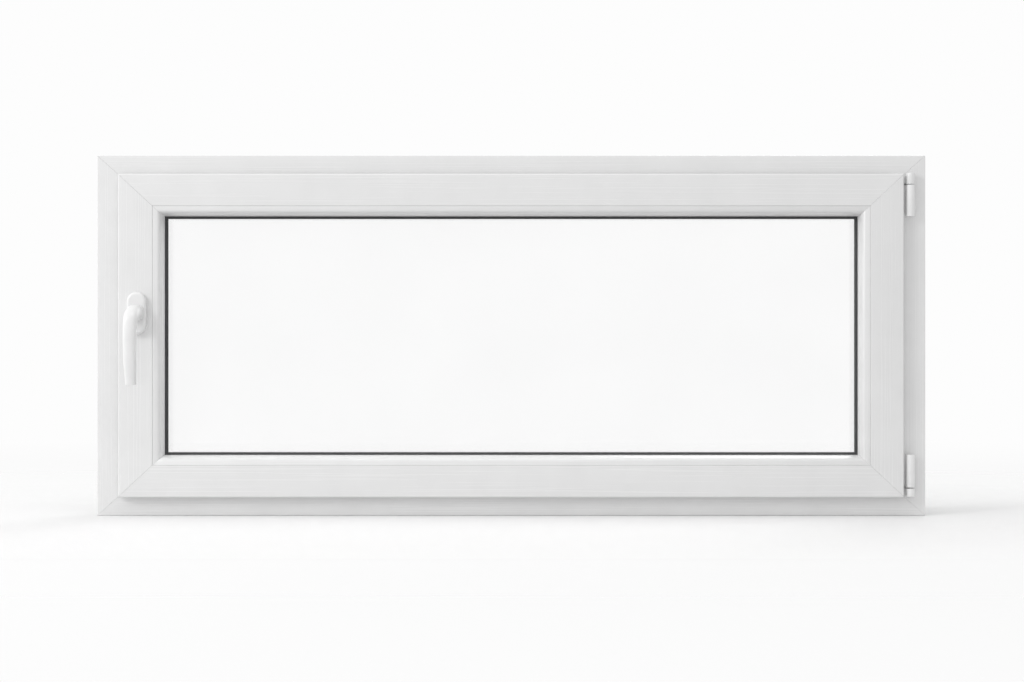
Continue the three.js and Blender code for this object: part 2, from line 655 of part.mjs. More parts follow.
// Cup that turns in the corner bearing and holds the sash's ball.
{
  const seat = TILT_BALL + CLEARANCE;
  const rim = LOWER_BARREL[1] - 0.4;
  const floor = TILT_HEIGHT - seat - 0.6;
  const arc = new THREE.EllipseCurve(0, TILT_HEIGHT, seat, seat, 0, -Math.PI / 2, true).getPoints(6);
  const profile = [[0, floor], [4.9, floor], [4.9, rim], [4.2, rim], ...arc.map((p) => [Math.max(p.x, 0), p.y])];
  profile[profile.length - 1][0] = 0;
  piece("pivot_cup", turned(profile, HINGE_X, V.hinge), ZINC);
}

// ---------- Sash ----------

const gearPocket = block(
  [SASH_LEFT - 1, SPINDLE_X + CASE_BACK + 0.5],
  [V.groove - CASE_WIDTH / 2 - 0.4, V.groove + CASE_WIDTH / 2 + 0.4],
  [HANDLE_HEIGHT - CASE_HEIGHT / 2 - 1, HANDLE_HEIGHT + CASE_HEIGHT / 2 + 1],
);
const HANDLE_HOLES = [0, SCREW_PITCH / 2, -SCREW_PITCH / 2];
const handleHoles = HANDLE_HOLES.map((rise) =>
  pegY(rise ? 3.2 : 6.2, [V.sashRoom - 1, V.groove], SPINDLE_X, HANDLE_HEIGHT + rise, 20),
);

for (const side of Object.keys(SIDES)) {
  const name = { sill: "sash_bottom_rail", lock: "sash_stile_lock", head: "sash_top_rail", hinge: "sash_stile_hinge" };
  const profile = bar(sashSection(), side);
  const steel = bar(steelSection(SASH_STEEL), side, SASH_STEEL[1] + STEEL_SETBACK);
  const lock = side === "lock";
  piece(name[side], lock ? cut(solid(profile), gearPocket, ...handleHoles) : profile, PVC);
  piece(`sash_steel_${side}`, lock ? cut(solid(steel), ...handleHoles) : steel, STEEL);
}
for (const side of Object.keys(SIDES)) piece(`bead_${side}`, bar(beadSection(), side), PVC);

const flatRing = (u0, u1, v0, v1) => outline([[u0, v0], [u1, v0], [u1, v1], [u0, v1]]);
const pane = (v0) =>
  block([-acrossX(U.glass), acrossX(U.glass)], [v0, v0 + PANE], [U.glass, HEIGHT - U.glass]);
const cavity = [V.glassIn + PANE + CLEARANCE, V.glassOut - PANE - CLEARANCE];
piece("pane_room", pane(V.glassIn), GLASS);
piece("pane_weather", pane(V.glassOut - PANE), GLASS);
piece("spacer_bar", ring(flatRing(U.sight - 8, U.sight - 1.5, ...cavity)), ALUMINIUM);
piece("edge_sealant", ring(flatRing(U.glass + CLEARANCE, U.sight - 8 - CLEARANCE, ...cavity)), SEALANT);
piece("bead_seal", ring(beadSeal), RUBBER);
piece("glazing_seal_weather", ring(outerGlazingSeal), RUBBER);

// The lip's seal is notched where the hinge leaves pass through it.
const notch = (z0, z1) =>
  block([REBATE_X - LEAF_REACH - 1, HINGE_X], [V.lipBack + 0.1, V.frameRoom], [z0 - 1, z1 + 1]);
const sealNotches = [
  notch(STAY_BARREL[0], STAY_BARREL[1]),
  notch(STAY_KNUCKLE[0], HEIGHT - FRAME_FACE + 1),
  notch(BAND_BARREL[0], BAND_BARREL[1]),
  notch(FRAME_FACE - 1, LOWER_BARREL[1] + 1),
];
piece("sash_seal", cut(solid(ring(lipSeal)), ...sealNotches), RUBBER);

for (const [name, x] of [["glass_packer_lock", -acrossX(U.glass) + 110], ["glass_packer_hinge", acrossX(U.glass) - 110]]) {
  const span = [U.glazingBase + CLEARANCE, U.glass - CLEARANCE];
  const packer = block([x - 50, x + 50], [V.glassIn, V.glassOut], span);
  piece(name, packer, BLUE_PLASTIC);
}

// ---------- Lock: faceplates, rods and gear ----------

const halfPlate = FACEPLATE_WIDTH / 2 - 0.1;

// A round-ended slot in a faceplate, from one place to another along it.
function slot(from, to, radius) {
  const [low, high] = [Math.min(from, to), Math.max(from, to)];
  const depth = [plateSpan[0] - 1, plateSpan[1] + 1];
  const ends = [low, high].map((at) => post(radius, depth, at, V.groove, 20));
  return joined(block([low, high], [V.groove - radius, V.groove + radius], depth), ...ends);
}
const slotRadius = CAM_NECK_RADIUS + 0.4;
const screwHoles = (places) => places.map((at) => post(2.1, [-8, 1], at, V.groove, 12));

function faceplate(side, from, to, cams, holes, extra = []) {
  const [low, high] = [from, to].map((at) => alongEdge(side, at)).sort((a, b) => a - b);
  const plate = block([low, high], [V.groove - halfPlate, V.groove + halfPlate], plateSpan);
  const slots = cams.map(([at, travel]) => slot(alongEdge(side, at), alongEdge(side, at + travel), slotRadius));
  return onEdge(side, cut(plate, ...slots, ...extra, ...screwHoles(holes.map((at) => alongEdge(side, at)))));
}

// A flat rod behind the faceplate, with its cams standing out through the slots.
function rod(side, from, to, cams) {
  const [low, high] = [from, to].map((at) => alongEdge(side, at)).sort((a, b) => a - b);
  const flat = block([low, high], [V.groove - ROD_WIDTH / 2, V.groove + ROD_WIDTH / 2], rodSpan);
  const made = cams.map((at) => {
    const s = alongEdge(side, at);
    const neck = post(CAM_NECK_RADIUS, [rodSpan[0] + 0.5, CAM_REACH - 4], s, V.groove, 24);
    const head = turned(
      [[0, 1], [CAM_RADIUS, 1], [CAM_RADIUS, CAM_REACH - 0.8], [CAM_RADIUS - 0.8, CAM_REACH], [0, CAM_REACH]],
      s,
      V.groove,
      24,
    );
    return joined(neck, head);
  });
  return onEdge(side, joined(flat, ...made));
}

const plateEnds = { low: SASH_BOTTOM + CORNER_LEG + 0.5, high: SASH_TOP - CORNER_LEG - 0.5 };
const lockCams = LOCK_CAM_HEIGHTS.map((height) => [height, -TRAVEL]);
piece(
  "faceplate_lock",
  faceplate("lock", plateEnds.low, plateEnds.high, lockCams, [plateEnds.low + 10, HANDLE_HEIGHT - 75, HANDLE_HEIGHT + 63]),
  ZINC,
);
const stayPinX = HINGE_X - STAY_LENGTH;
const railStart = SASH_LEFT + CORNER_LEG + 0.5;
const topEnd = -SASH_LEFT - 73;
const bottomEnd = RAIL_CAM_X + 390;
const staySlot = slot(stayPinX - 2, stayPinX + 12, 4.5);
piece(
  "faceplate_top",
  faceplate("head", railStart, topEnd, [[RAIL_CAM_X, -TRAVEL]], [
    railStart + 40,
    RAIL_CAM_X + 180,
    stayPinX - 70,
    topEnd - 20,
  ], [staySlot]),
  ZINC,
);
piece(
  "faceplate_bottom",
  faceplate("sill", railStart, bottomEnd, [[RAIL_CAM_X, TRAVEL]], [
    railStart + 40,
    RAIL_CAM_X + 180,
    bottomEnd - 20,
  ]),
  ZINC,
);

// Corner drives: an angle of faceplate, with the guide block that turns the rods' pull round the corner.
function cornerDrive(edge) {
  const inward = edge === "head" ? -1 : 1;
  const rail = edge === "head" ? SASH_TOP : SASH_BOTTOM;
  const z = (depth0, depth1) => [rail + inward * depth0, rail + inward * depth1].sort((a, b) => a - b);
  const x = (depth0, depth1) => [SASH_LEFT + depth0, SASH_LEFT + depth1];
  const depth = [V.groove - halfPlate, V.groove + halfPlate];
  const guide = [V.groove - ROD_WIDTH / 2, V.groove + ROD_WIDTH / 2];
  const [top, bottom] = [-plateSpan[1], -plateSpan[0]];
  return joined(
    block(x(top, bottom), depth, z(top, CORNER_LEG)),
    block(x(top, CORNER_LEG), depth, z(top, bottom)),
    block(x(bottom - 0.5, 9.5), guide, z(bottom - 0.5, 24)),
    block(x(bottom - 0.5, 24), guide, z(bottom - 0.5, 9.5)),
  );
}
piece("corner_drive_upper", cornerDrive("head"), ZINC);
piece("corner_drive_lower", cornerDrive("sill"), ZINC);

// Gear: involute flanks from the base circle to the tip, with a short root.
function gearOutline() {
  const base = GEAR_RADIUS * Math.cos(PRESSURE_ANGLE);
  const tip = GEAR_RADIUS + 0.85 * GEAR_MODULE;
  const root = GEAR_RADIUS - GEAR_ROOT;
  const involute = (radius) => {
    const angle = Math.acos(base / radius);
    return Math.tan(angle) - angle;
  };
  const atPitch = Math.PI / (2 * GEAR_TEETH) - BACKLASH / (2 * GEAR_RADIUS) + involute(GEAR_RADIUS);
  const flank = [0, 0.35, 0.7, 1].map((share) => {
    const radius = base + share * (tip - base);
    return [radius, atPitch - involute(radius)];
  });
  flank.unshift([root, flank[0][1]]);
  const points = [];
  for (let tooth = 0; tooth < GEAR_TEETH; tooth++) {
    const middle = ((tooth + 0.5) * 2 * Math.PI) / GEAR_TEETH;
    for (const [radius, half] of flank) points.push([radius, middle - half]);
    for (const [radius, half] of [...flank].reverse()) points.push([radius, middle + half]);
  }
  return new THREE.Shape(points.map(([r, a]) => new THREE.Vector2(r * Math.cos(a), r * Math.sin(a))));
}

function pinion() {
  const teeth = new THREE.ExtrudeGeometry(gearOutline(), { depth: GEAR_WIDTH, bevelEnabled: false });
  teeth.rotateX(Math.PI / 2).translate(SPINDLE_X, V.groove + GEAR_WIDTH / 2, HANDLE_HEIGHT);
  const boss = pegY(
    GEAR_BOSS_RADIUS,
    [V.groove - CASE_WIDTH / 2 + 0.2, V.groove + CASE_WIDTH / 2 - 0.2],
    SPINDLE_X,
    HANDLE_HEIGHT,
    24,
  );
  const half = SPINDLE / 2 + 0.15;
  const square = block(
    [SPINDLE_X - half, SPINDLE_X + half],
    [V.groove - 20, V.groove + 20],
    [HANDLE_HEIGHT - half, HANDLE_HEIGHT + half],
  );
  return cut(joined(solid(teeth), boss), square);
}

// Rack teeth on the lock rod, in mesh with the pinion at rest.
function rack() {
  const pitch = Math.PI * GEAR_MODULE;
  const pitchX = SPINDLE_X - GEAR_RADIUS;
  const rootX = pitchX - GEAR_ROOT;
  const tipX = pitchX + 0.7 * GEAR_MODULE;
  const slope = Math.tan(PRESSURE_ANGLE);
  const halfAt = (x) => pitch / 4 - BACKLASH / 4 - (x - pitchX) * slope;
  const below = 4;
  const above = Math.ceil(TRAVEL / pitch) + 4;
  const points = [];
  for (let tooth = -below; tooth <= above; tooth++) {
    const z = HANDLE_HEIGHT + tooth * pitch;
    points.push([rootX, z - halfAt(rootX)], [tipX, z - halfAt(tipX)]);
    points.push([tipX, z + halfAt(tipX)], [rootX, z + halfAt(rootX)]);
  }
  const back = -acrossX(U.body) - rodSpan[1] + 0.3;
  points.push([back, points.at(-1)[1]], [back, points[0][1]]);
  const shape = new THREE.Shape(points.map(([x, z]) => new THREE.Vector2(x, z)));
  const teeth = new THREE.ExtrudeGeometry(shape, { depth: GEAR_WIDTH - 0.6, bevelEnabled: false });
  const span = [points[0][1] - 0.5, points.at(-3)[1] + 0.5];
  const relief = block([rootX, SPINDLE_X], [V.groove - 5, V.groove + 5], span);
  return { teeth: solid(teeth.rotateX(Math.PI / 2).translate(0, V.groove + (GEAR_WIDTH - 0.6) / 2, 0)), relief };
}

const { teeth, relief } = rack();
const lockRod = rod("lock", plateEnds.low + TRAVEL + 2, plateEnds.high - 2, LOCK_CAM_HEIGHTS);
piece("rod_lock", joined(cut(lockRod, relief), teeth), ZINC);
const sideStart = SASH_LEFT + 26;
piece("rod_top", rod("head", sideStart + TRAVEL + 1, stayPinX - 220, [RAIL_CAM_X]), ZINC);
piece("rod_bottom", rod("sill", sideStart + 1, bottomEnd - TRAVEL - 12, [RAIL_CAM_X]), ZINC);

piece("lock_gear", pinion(), ZINC);
{
  const [x0, x1] = [SASH_LEFT - rodSpan[1] + 0.2, SPINDLE_X + CASE_BACK];
  const [y0, y1] = [V.groove - CASE_WIDTH / 2, V.groove + CASE_WIDTH / 2];
  const [z0, z1] = [HANDLE_HEIGHT - CASE_HEIGHT / 2, HANDLE_HEIGHT + CASE_HEIGHT / 2];
  const wall = CASE_WALL;
  const shell = block([x0, x1], [y0, y1], [z0, z1]);
  const room = block([x0 - 1, x1 - wall], [y0 + wall, y1 - wall], [HANDLE_HEIGHT - CASE_BACK - 2, HANDLE_HEIGHT + CASE_BACK + 2]);
  const rodWay = block([x0 - 1, SPINDLE_X - GEAR_RADIUS + GEAR_MODULE + 0.4], [y0 + wall, y1 - wall], [z0 - 1, z1 + 1]);
  const bore = pegY(GEAR_BOSS_RADIUS + 0.15, [y0 - 1, y1 + 1], SPINDLE_X, HANDLE_HEIGHT, 24);
  const threads = [-1, 1].map((end) =>
    pegY(2.2, [y0 - 1, y1 + 1], SPINDLE_X, HANDLE_HEIGHT + (end * SCREW_PITCH) / 2, 16),
  );
  piece("gear_case", cut(shell, room, rodWay, bore, ...threads), ZINC);
}

// ---------- Handle ----------

// Stadium-shaped plate on the sash's face, standing out by its depth.
function stadium(width, height, [y0, y1], chamfer = 0) {
  const shape = new THREE.Shape();
  const radius = width / 2 - chamfer;
  const reach = height / 2 - width / 2;
  shape.absarc(0, reach, radius, 0, Math.PI);
  shape.absarc(0, -reach, radius, Math.PI, 2 * Math.PI);
  const plate = new THREE.ExtrudeGeometry(shape, {
    depth: y1 - y0 - 2 * chamfer,
    bevelEnabled: chamfer > 0,
    bevelThickness: chamfer,
    bevelSize: chamfer,
    bevelSegments: 2,
    curveSegments: 14,
  });
  return solid(plate.rotateX(Math.PI / 2).translate(SPINDLE_X, y1 - chamfer, HANDLE_HEIGHT));
}

const faceAt = V.sashRoom - CLEARANCE;
const rosetteFront = faceAt - ROSETTE_DEPTH;
const baseFront = rosetteFront + ROSETTE_WALL + CLEARANCE;
{
  const outer = stadium(ROSETTE_WIDTH, ROSETTE_HEIGHT, [rosetteFront, faceAt + 1.6], 1.6);
  const trim = block([-WIDTH, WIDTH], [faceAt, faceAt + 9], [0, HEIGHT]);
  const inside = stadium(
    ROSETTE_WIDTH - 2 * ROSETTE_WALL,
    ROSETTE_HEIGHT - 2 * ROSETTE_WALL,
    [rosetteFront + ROSETTE_WALL, faceAt + 9],
  );
  const bore = pegY(HUB_RADIUS - 3.2, [rosetteFront - 1, faceAt + 9], SPINDLE_X, HANDLE_HEIGHT);
  piece("handle_cover", cut(outer, trim, inside, bore), COATED);
  const body = stadium(
    ROSETTE_WIDTH - 2 * ROSETTE_WALL - 1,
    ROSETTE_HEIGHT - 2 * ROSETTE_WALL - 1,
    [baseFront, faceAt],
  );
  const journal = pegY(HUB_RADIUS - 3.6, [baseFront - 1, faceAt + 1], SPINDLE_X, HANDLE_HEIGHT);
  const seats = [-1, 1].flatMap((end) => {
    const z = HANDLE_HEIGHT + (end * SCREW_PITCH) / 2;
    return [pegY(2.8, [baseFront - 1, faceAt + 1], SPINDLE_X, z, 20), pegY(5.2, [baseFront - 1, faceAt - 3], SPINDLE_X, z, 20)];
  });
  piece("handle_base", cut(body, journal, ...seats), BLUE_PLASTIC);
}
[["handle_screw_upper", 1], ["handle_screw_lower", -1]].forEach(([name, end]) => {
  const z = HANDLE_HEIGHT + (end * SCREW_PITCH) / 2;
  const head = pegY(4.8, [faceAt - 6.3, faceAt - 3.3], SPINDLE_X, z, 20);
  const shank = pegY(2.05, [faceAt - 4, V.groove + CASE_WIDTH / 2 - 1], SPINDLE_X, z, 16);
  const recess = block([SPINDLE_X - 0.6, SPINDLE_X + 0.6], [faceAt - 7, faceAt - 5.3], [z - 3, z + 3]);
  const cross = block([SPINDLE_X - 3, SPINDLE_X + 3], [faceAt - 7, faceAt - 5.3], [z - 0.6, z + 0.6]);
  piece(name, cut(joined(head, shank), recess, cross), STEEL);
});
{
  const half = SPINDLE / 2;
  const ends = [rosetteFront - 12, V.groove + CASE_WIDTH / 2 - 0.5];
  const bar = block([SPINDLE_X - half, SPINDLE_X + half], ends, [HANDLE_HEIGHT - half, HANDLE_HEIGHT + half]);
  piece("handle_spindle", bar, STEEL);
}

// Lever: one smooth limb out of the rosette, round the elbow and down to the tip.
function lever() {
  const grip = V.sashRoom - LEVER_STANDOFF;
  const neck = rosetteFront - 0.4;
  const tipZ = HANDLE_HEIGHT - LEVER_LENGTH;
  const path = new THREE.CatmullRomCurve3(
    [
      [neck, HANDLE_HEIGHT],
      [neck - 12, HANDLE_HEIGHT],
      [grip + 3, HANDLE_HEIGHT - 4],
      [grip - 3, HANDLE_HEIGHT - 26],
      [grip - 4, HANDLE_HEIGHT - 62],
      [grip + 1, tipZ],
    ].map(([y, z]) => new THREE.Vector3(SPINDLE_X, y, z)),
    false,
    "centripetal",
  );
  const steps = 26;
  const sizeAt = (sizes, share) => {
    const place = share * (sizes.length - 1);
    const i = Math.min(Math.floor(place), sizes.length - 2);
    return THREE.MathUtils.lerp(sizes[i], sizes[i + 1], place - i);
  };
  const rings = [];
  for (let i = 0; i <= steps; i++) {
    const share = i / steps;
    const centre = path.getPointAt(share);
    const heading = i === 0 ? new THREE.Vector3(0, -1, 0) : path.getTangentAt(share);
    const across = new THREE.Vector3(1, 0, 0);
    const through = new THREE.Vector3().crossVectors(heading, across);
    const w = sizeAt(LEVER_WIDTHS, share) / 2;
    const t = sizeAt(LEVER_THICKNESSES, share) / 2;
    rings.push(
      Array.from({ length: 20 }, (_, j) => {
        const a = (j / 20) * 2 * Math.PI;
        return centre.clone().addScaledVector(across, w * Math.cos(a)).addScaledVector(through, t * Math.sin(a));
      }),
    );
  }
  const half = SPINDLE / 2 + 0.15;
  const socket = block(
    [SPINDLE_X - half, SPINDLE_X + half],
    [rosetteFront - 12.5, rosetteFront + 20],
    [HANDLE_HEIGHT - half, HANDLE_HEIGHT + half],
  );
  const collar = pegY(HUB_RADIUS - 3.9, [faceAt - 5, neck - 2], SPINDLE_X, HANDLE_HEIGHT);
  return cut(joined(solid(skin(rings, false)), collar), socket);
}
piece("handle_lever", lever(), COATED);

// ---------- Hinges, sash side ----------

// Corner band: barrel, ball pin and a cranked leaf screwed to the hinge stile's edge.
{
  const edge = acrossX(U.body);
  const flange = [edge + CLEARANCE, edge + CLEARANCE + LEAF];
  const barrel = post(METAL_RADIUS, BAND_BARREL, HINGE_X, V.hinge);
  const arc = new THREE.EllipseCurve(0, TILT_HEIGHT, TILT_BALL, TILT_BALL, -Math.PI / 2, Math.PI / 4).getPoints(8);
  const pin = turned(
    [...arc.map((p, i) => [i ? p.x : 0, p.y]), [2.2, BAND_BARREL[0] + 1], [0, BAND_BARREL[0] + 1]],
    HINGE_X,
    V.hinge,
  );
  const rise = [BAND_BARREL[0] + 2.4, BAND_BARREL[1]];
  const leaf = block([flange[0], HINGE_X + 2], leafSash, rise);
  const foot = block(flange, [leafSash[0], V.groove + 10], rise);
  piece("corner_band", joined(barrel, pin, leaf, foot), COATED);
  piece("corner_band_sleeve", sleeve(BAND_BARREL, leafSash), CAP);
}

// Stay arm: knuckle on the hinge line, a leaf behind the lip and a long arm over the sash, with a pin in its guide.
{
  const arm = [STAY_UNDER, STAY_UNDER + STAY_THICKNESS];
  const leafY = [V.lipBack + 0.8, V.frameRoom - 0.8];
  const knuckle = post(BARREL_RADIUS, STAY_KNUCKLE, HINGE_X, V.hinge);
  const bore = post(PIN_RADIUS + 0.1, [STAY_KNUCKLE[0] - 1, STAY_KNUCKLE[1] - 3], HINGE_X, V.hinge, 24);
  const leaf = block([REBATE_X - LEAF_REACH, HINGE_X + 2], leafY, [STAY_UNDER, STAY_KNUCKLE[1] - 2]);
  const crank = block([REBATE_X - 26, REBATE_X - 4], [leafY[0], V.groove + STAY_WIDTH / 2], arm);
  const half = STAY_WIDTH / 2;
  const strip = block([stayPinX, REBATE_X - 4], [V.groove - half, V.groove + half], arm);
  const end = post(half, arm, stayPinX, V.groove);
  const pin = post(3, [SASH_TOP - CHANNEL_DEPTH + 2, STAY_UNDER + 1], stayPinX, V.groove, 20);
  piece("stay_arm", cut(joined(knuckle, leaf, crank, strip, end, pin), bore), COATED);
  const hingePin = [STAY_BARREL[0] + 4.3, STAY_KNUCKLE[1] - 3.3];
  piece("stay_hinge_pin", post(PIN_RADIUS - 0.1, hingePin, HINGE_X, V.hinge, 24), STEEL);
}

export default window_;
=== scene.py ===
"""Looks of a white PVC-U tilt-and-turn casement window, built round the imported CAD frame.

+X is to the right seen from the room, +Y is outdoors and +Z is up. Sizes are in millimetres, except where
a comment says metres.
"""
import math

import bmesh
import bpy
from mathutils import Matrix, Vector
from mathutils.geometry import interpolate_bezier


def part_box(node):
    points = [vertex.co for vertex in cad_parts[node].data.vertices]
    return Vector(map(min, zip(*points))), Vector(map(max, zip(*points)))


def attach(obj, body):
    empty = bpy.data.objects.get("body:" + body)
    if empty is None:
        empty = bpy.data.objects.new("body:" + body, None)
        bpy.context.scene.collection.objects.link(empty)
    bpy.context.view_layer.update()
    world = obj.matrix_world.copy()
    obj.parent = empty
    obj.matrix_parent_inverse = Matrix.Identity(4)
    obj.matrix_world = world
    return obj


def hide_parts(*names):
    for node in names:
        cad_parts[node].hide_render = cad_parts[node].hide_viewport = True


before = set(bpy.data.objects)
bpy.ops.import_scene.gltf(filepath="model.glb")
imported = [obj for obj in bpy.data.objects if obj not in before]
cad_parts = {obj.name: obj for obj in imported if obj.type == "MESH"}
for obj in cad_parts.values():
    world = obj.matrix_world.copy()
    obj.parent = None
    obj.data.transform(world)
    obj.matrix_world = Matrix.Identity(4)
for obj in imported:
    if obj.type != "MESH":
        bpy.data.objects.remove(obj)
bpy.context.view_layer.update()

MM = 0.001

# ---------- Camera, floor and light ----------

CAMERA_DISTANCE = 3.0  # metres, from the frame's room face
CAMERA_HEIGHT = 0.291  # metres
CAMERA_ASIDE = 0.0012  # metres
ROOM_FACE_PLACE = -0.035  # metres
CAMERA_LENS = 63.3
SENSOR_WIDTH = 36
BACKDROP = "#fdfdfd"

camera = bpy.data.objects.new("camera", bpy.data.cameras.new("camera"))
bpy.context.scene.collection.objects.link(camera)
camera.location = (CAMERA_ASIDE, ROOM_FACE_PLACE - CAMERA_DISTANCE, CAMERA_HEIGHT)
camera.rotation_euler = (math.radians(90), 0, 0)
camera.data.lens = CAMERA_LENS
camera.data.sensor_width = SENSOR_WIDTH
bpy.context.scene.camera = camera
bpy.context.scene.view_settings.view_transform = "Standard"


def linear(hex_colour):
    """An sRGB hex colour as linear red, green, blue and alpha."""
    values = [int(hex_colour[i : i + 2], 16) / 255 for i in (1, 3, 5)]
    return [v / 12.92 if v <= 0.04045 else ((v + 0.055) / 1.055) ** 2.4 for v in values] + [1]


def add_node(tree, kind, inputs=None, **settings):
    """Adds a node, sets its properties, and sets or links its inputs."""
    made = tree.nodes.new(kind)
    for name, value in settings.items():
        setattr(made, name, value)
    for socket, value in (inputs or {}).items():
        if isinstance(value, bpy.types.NodeSocket):
            tree.links.new(value, made.inputs[socket])
        else:
            made.inputs[socket].default_value = value
    return made


AMBIENT = 0.745  # strength of the room's even light
AIM = (0, 0, 0.3)  # metres, where every lamp points
LAMPS = [  # name, place in metres, diameter in metres, watts
    ("key_softbox", (-3.2, -2.4, 2.3), 1.6, 52),
    ("left_panel", (-4.0, -0.6, 1.2), 2.0, 25),
    ("overhead_panel", (0.0, -0.8, 4.0), 2.4, 28),
    ("back_panel", (2.0, 4.5, 3.0), 3.0, 56),
]


def light_studio():
    """An even pale room, with soft lamps from the upper left in front, from above and from behind."""
    world = bpy.data.worlds.new("studio")
    bpy.context.scene.world = world
    world.use_nodes = True
    tree = world.node_tree
    tree.nodes.clear()
    path = add_node(tree, "ShaderNodeLightPath")
    seen = add_node(tree, "ShaderNodeBackground", {"Color": linear(BACKDROP), "Strength": 1.0})
    lighting = add_node(tree, "ShaderNodeBackground", {"Color": linear("#ffffff"), "Strength": AMBIENT})
    parts = {0: path.outputs["Is Diffuse Ray"], 1: seen.outputs[0], 2: lighting.outputs[0]}
    room = add_node(tree, "ShaderNodeMixShader", parts)
    add_node(tree, "ShaderNodeOutputWorld", {"Surface": room.outputs[0]})

    for name, spot, size, watts in LAMPS:
        lamp = bpy.data.lights.new(name, "AREA")
        lamp.shape = "DISK"
        lamp.size = size
        lamp.energy = watts
        panel = bpy.data.objects.new(name, lamp)
        bpy.context.scene.collection.objects.link(panel)
        panel.location = spot
        panel.rotation_euler = (Vector(AIM) - Vector(spot)).to_track_quat("-Z", "Y").to_euler()


# ---------- Sizes of the profiles ----------

WIDTH = 1380
HEIGHT = 600
UPRIGHT_RATIO = 1.12
FRAME_FACE = 33
REBATE = 40
OVERLAP = 7
LIP_SETBACK = 2.4  # how much further in the sash lip stops on the uprights
LOCK_LIP = 1.15  # the lip reaches this much further on the lock side
RAIL_LIP = 1.4  # the lip reaches further on the rails
RAIL_SIGHT = 0.9  # the rails' beads and seals stand further in
SASH_EDGE = 50.5
STOP_TOP = 59.5
JOINT = 84.9
BEAD_BREAK = 92.5
SIGHT = 100.3
SEAL_EDGE = 104.6
OUTER_SEAL_EDGE = 101.1
GLAZING_BASE = 82.4
ROOM_FACE = -35
WEATHER_FACE = 35
STOP_FACE = 20
SASH_ROOM = -52
SASH_WEATHER = 16
LIP_BACK = -39
GROOVE = -26
GLAZING_STOP = 0
GLASS_OUT = -3.5
GLASS_IN = -27.5
BEAD_BACK = -31
GAP = 0.3  # clearance of a bead or a seal in its seat
BEAD_JOINT = 0.08  # half the width of the fine joint between sash and bead
SEAL_GROOVE = 2.6
FRAME_SEAL = 55
LIP_SEAL = 41
OUTER_SEAL = 94.9
SPINDLE = (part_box("handle_spindle")[0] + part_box("handle_spindle")[1]) / 2 / MM

# ---------- Mesh helpers ----------


def mesh_object(name, points, faces, material, smooth=30):
    """A mesh from points in millimetres, with faces outward and edges sharper than the angle left sharp."""
    mesh = bpy.data.meshes.new(name)
    mesh.from_pydata([[c * MM for c in p] for p in points], [], faces)
    mesh.validate()
    tidy = bmesh.new()
    tidy.from_mesh(mesh)
    bmesh.ops.remove_doubles(tidy, verts=tidy.verts, dist=1e-6)
    bmesh.ops.recalc_face_normals(tidy, faces=tidy.faces)
    tidy.to_mesh(mesh)
    tidy.free()
    made = bpy.data.objects.new(name, mesh)
    bpy.context.scene.collection.objects.link(made)
    finish_surface(made, material, smooth)
    return made


def finish_surface(made, material, smooth=30):
    """Gives a piece its one material and its smooth shading."""
    made.data.materials.clear()
    made.data.materials.append(material)
    made.data.shade_smooth()
    made.data.set_sharp_from_angle(angle=math.radians(smooth))


def loft(name, rings, material, closed=False, smooth=30):
    """A skin over rings of equal length, with flat ends or round on itself."""
    count = len(rings[0])
    faces = []
    for i in range(len(rings) if closed else len(rings) - 1):
        here, after = i * count, (i + 1) % len(rings) * count
        for j in range(count):
            k = (j + 1) % count
            faces.append((here + j, here + k, after + k, after + j))
    if not closed:
        faces.append(tuple(range(count)))
        faces.append(tuple((len(rings) - 1) * count + j for j in reversed(range(count))))
    return mesh_object(name, [p for ring in rings for p in ring], faces, material, smooth)


def bake(made):
    """Applies an object's modifiers."""
    evaluated = made.evaluated_get(bpy.context.evaluated_depsgraph_get())
    mesh = bpy.data.meshes.new_from_object(evaluated)
    made.modifiers.clear()
    made.data = mesh


def softened(name, node, material, edge=0.4, smooth=35, keep_angle=40):
    """A copy of a CAD node with its flat faces whole and its sharp edges rounded."""
    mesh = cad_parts[node].data.copy()
    shape = bmesh.new()
    shape.from_mesh(mesh)
    bmesh.ops.remove_doubles(shape, verts=shape.verts, dist=2e-6)
    bmesh.ops.dissolve_limit(shape, angle_limit=math.radians(0.5), verts=shape.verts, edges=shape.edges)
    shape.to_mesh(mesh)
    shape.free()
    made = bpy.data.objects.new(name, mesh)
    bpy.context.scene.collection.objects.link(made)
    bevel = made.modifiers.new("edges", "BEVEL")
    bevel.width = edge * MM
    bevel.segments = 2
    bevel.limit_method = "ANGLE"
    bevel.angle_limit = math.radians(keep_angle)
    bevel.use_clamp_overlap = True
    bake(made)
    finish_surface(made, material, smooth)
    return made


def place(made, body, slot, *nodes):
    """Says which body a piece moves with and which CAD nodes it stands in for; its slot is not used."""
    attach(made, body)
    if nodes:
        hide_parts(*nodes)
    return made


def rounded(points, steps=6):
    """An outline whose corners are rounded by their third number, in millimetres."""
    made = []
    count = len(points)
    for i, point in enumerate(points):
        at = Vector(point[:2])
        radius = point[2] if len(point) > 2 else 0
        if not radius:
            made.append(tuple(at))
            continue
        before = at + (Vector(points[i - 1][:2]) - at).normalized() * radius
        after = at + (Vector(points[(i + 1) % count][:2]) - at).normalized() * radius
        for s in range(steps + 1):
            t = s / steps
            spot = before * (1 - t) ** 2 + at * 2 * t * (1 - t) + after * t**2
            made.append(tuple(spot))
    return made


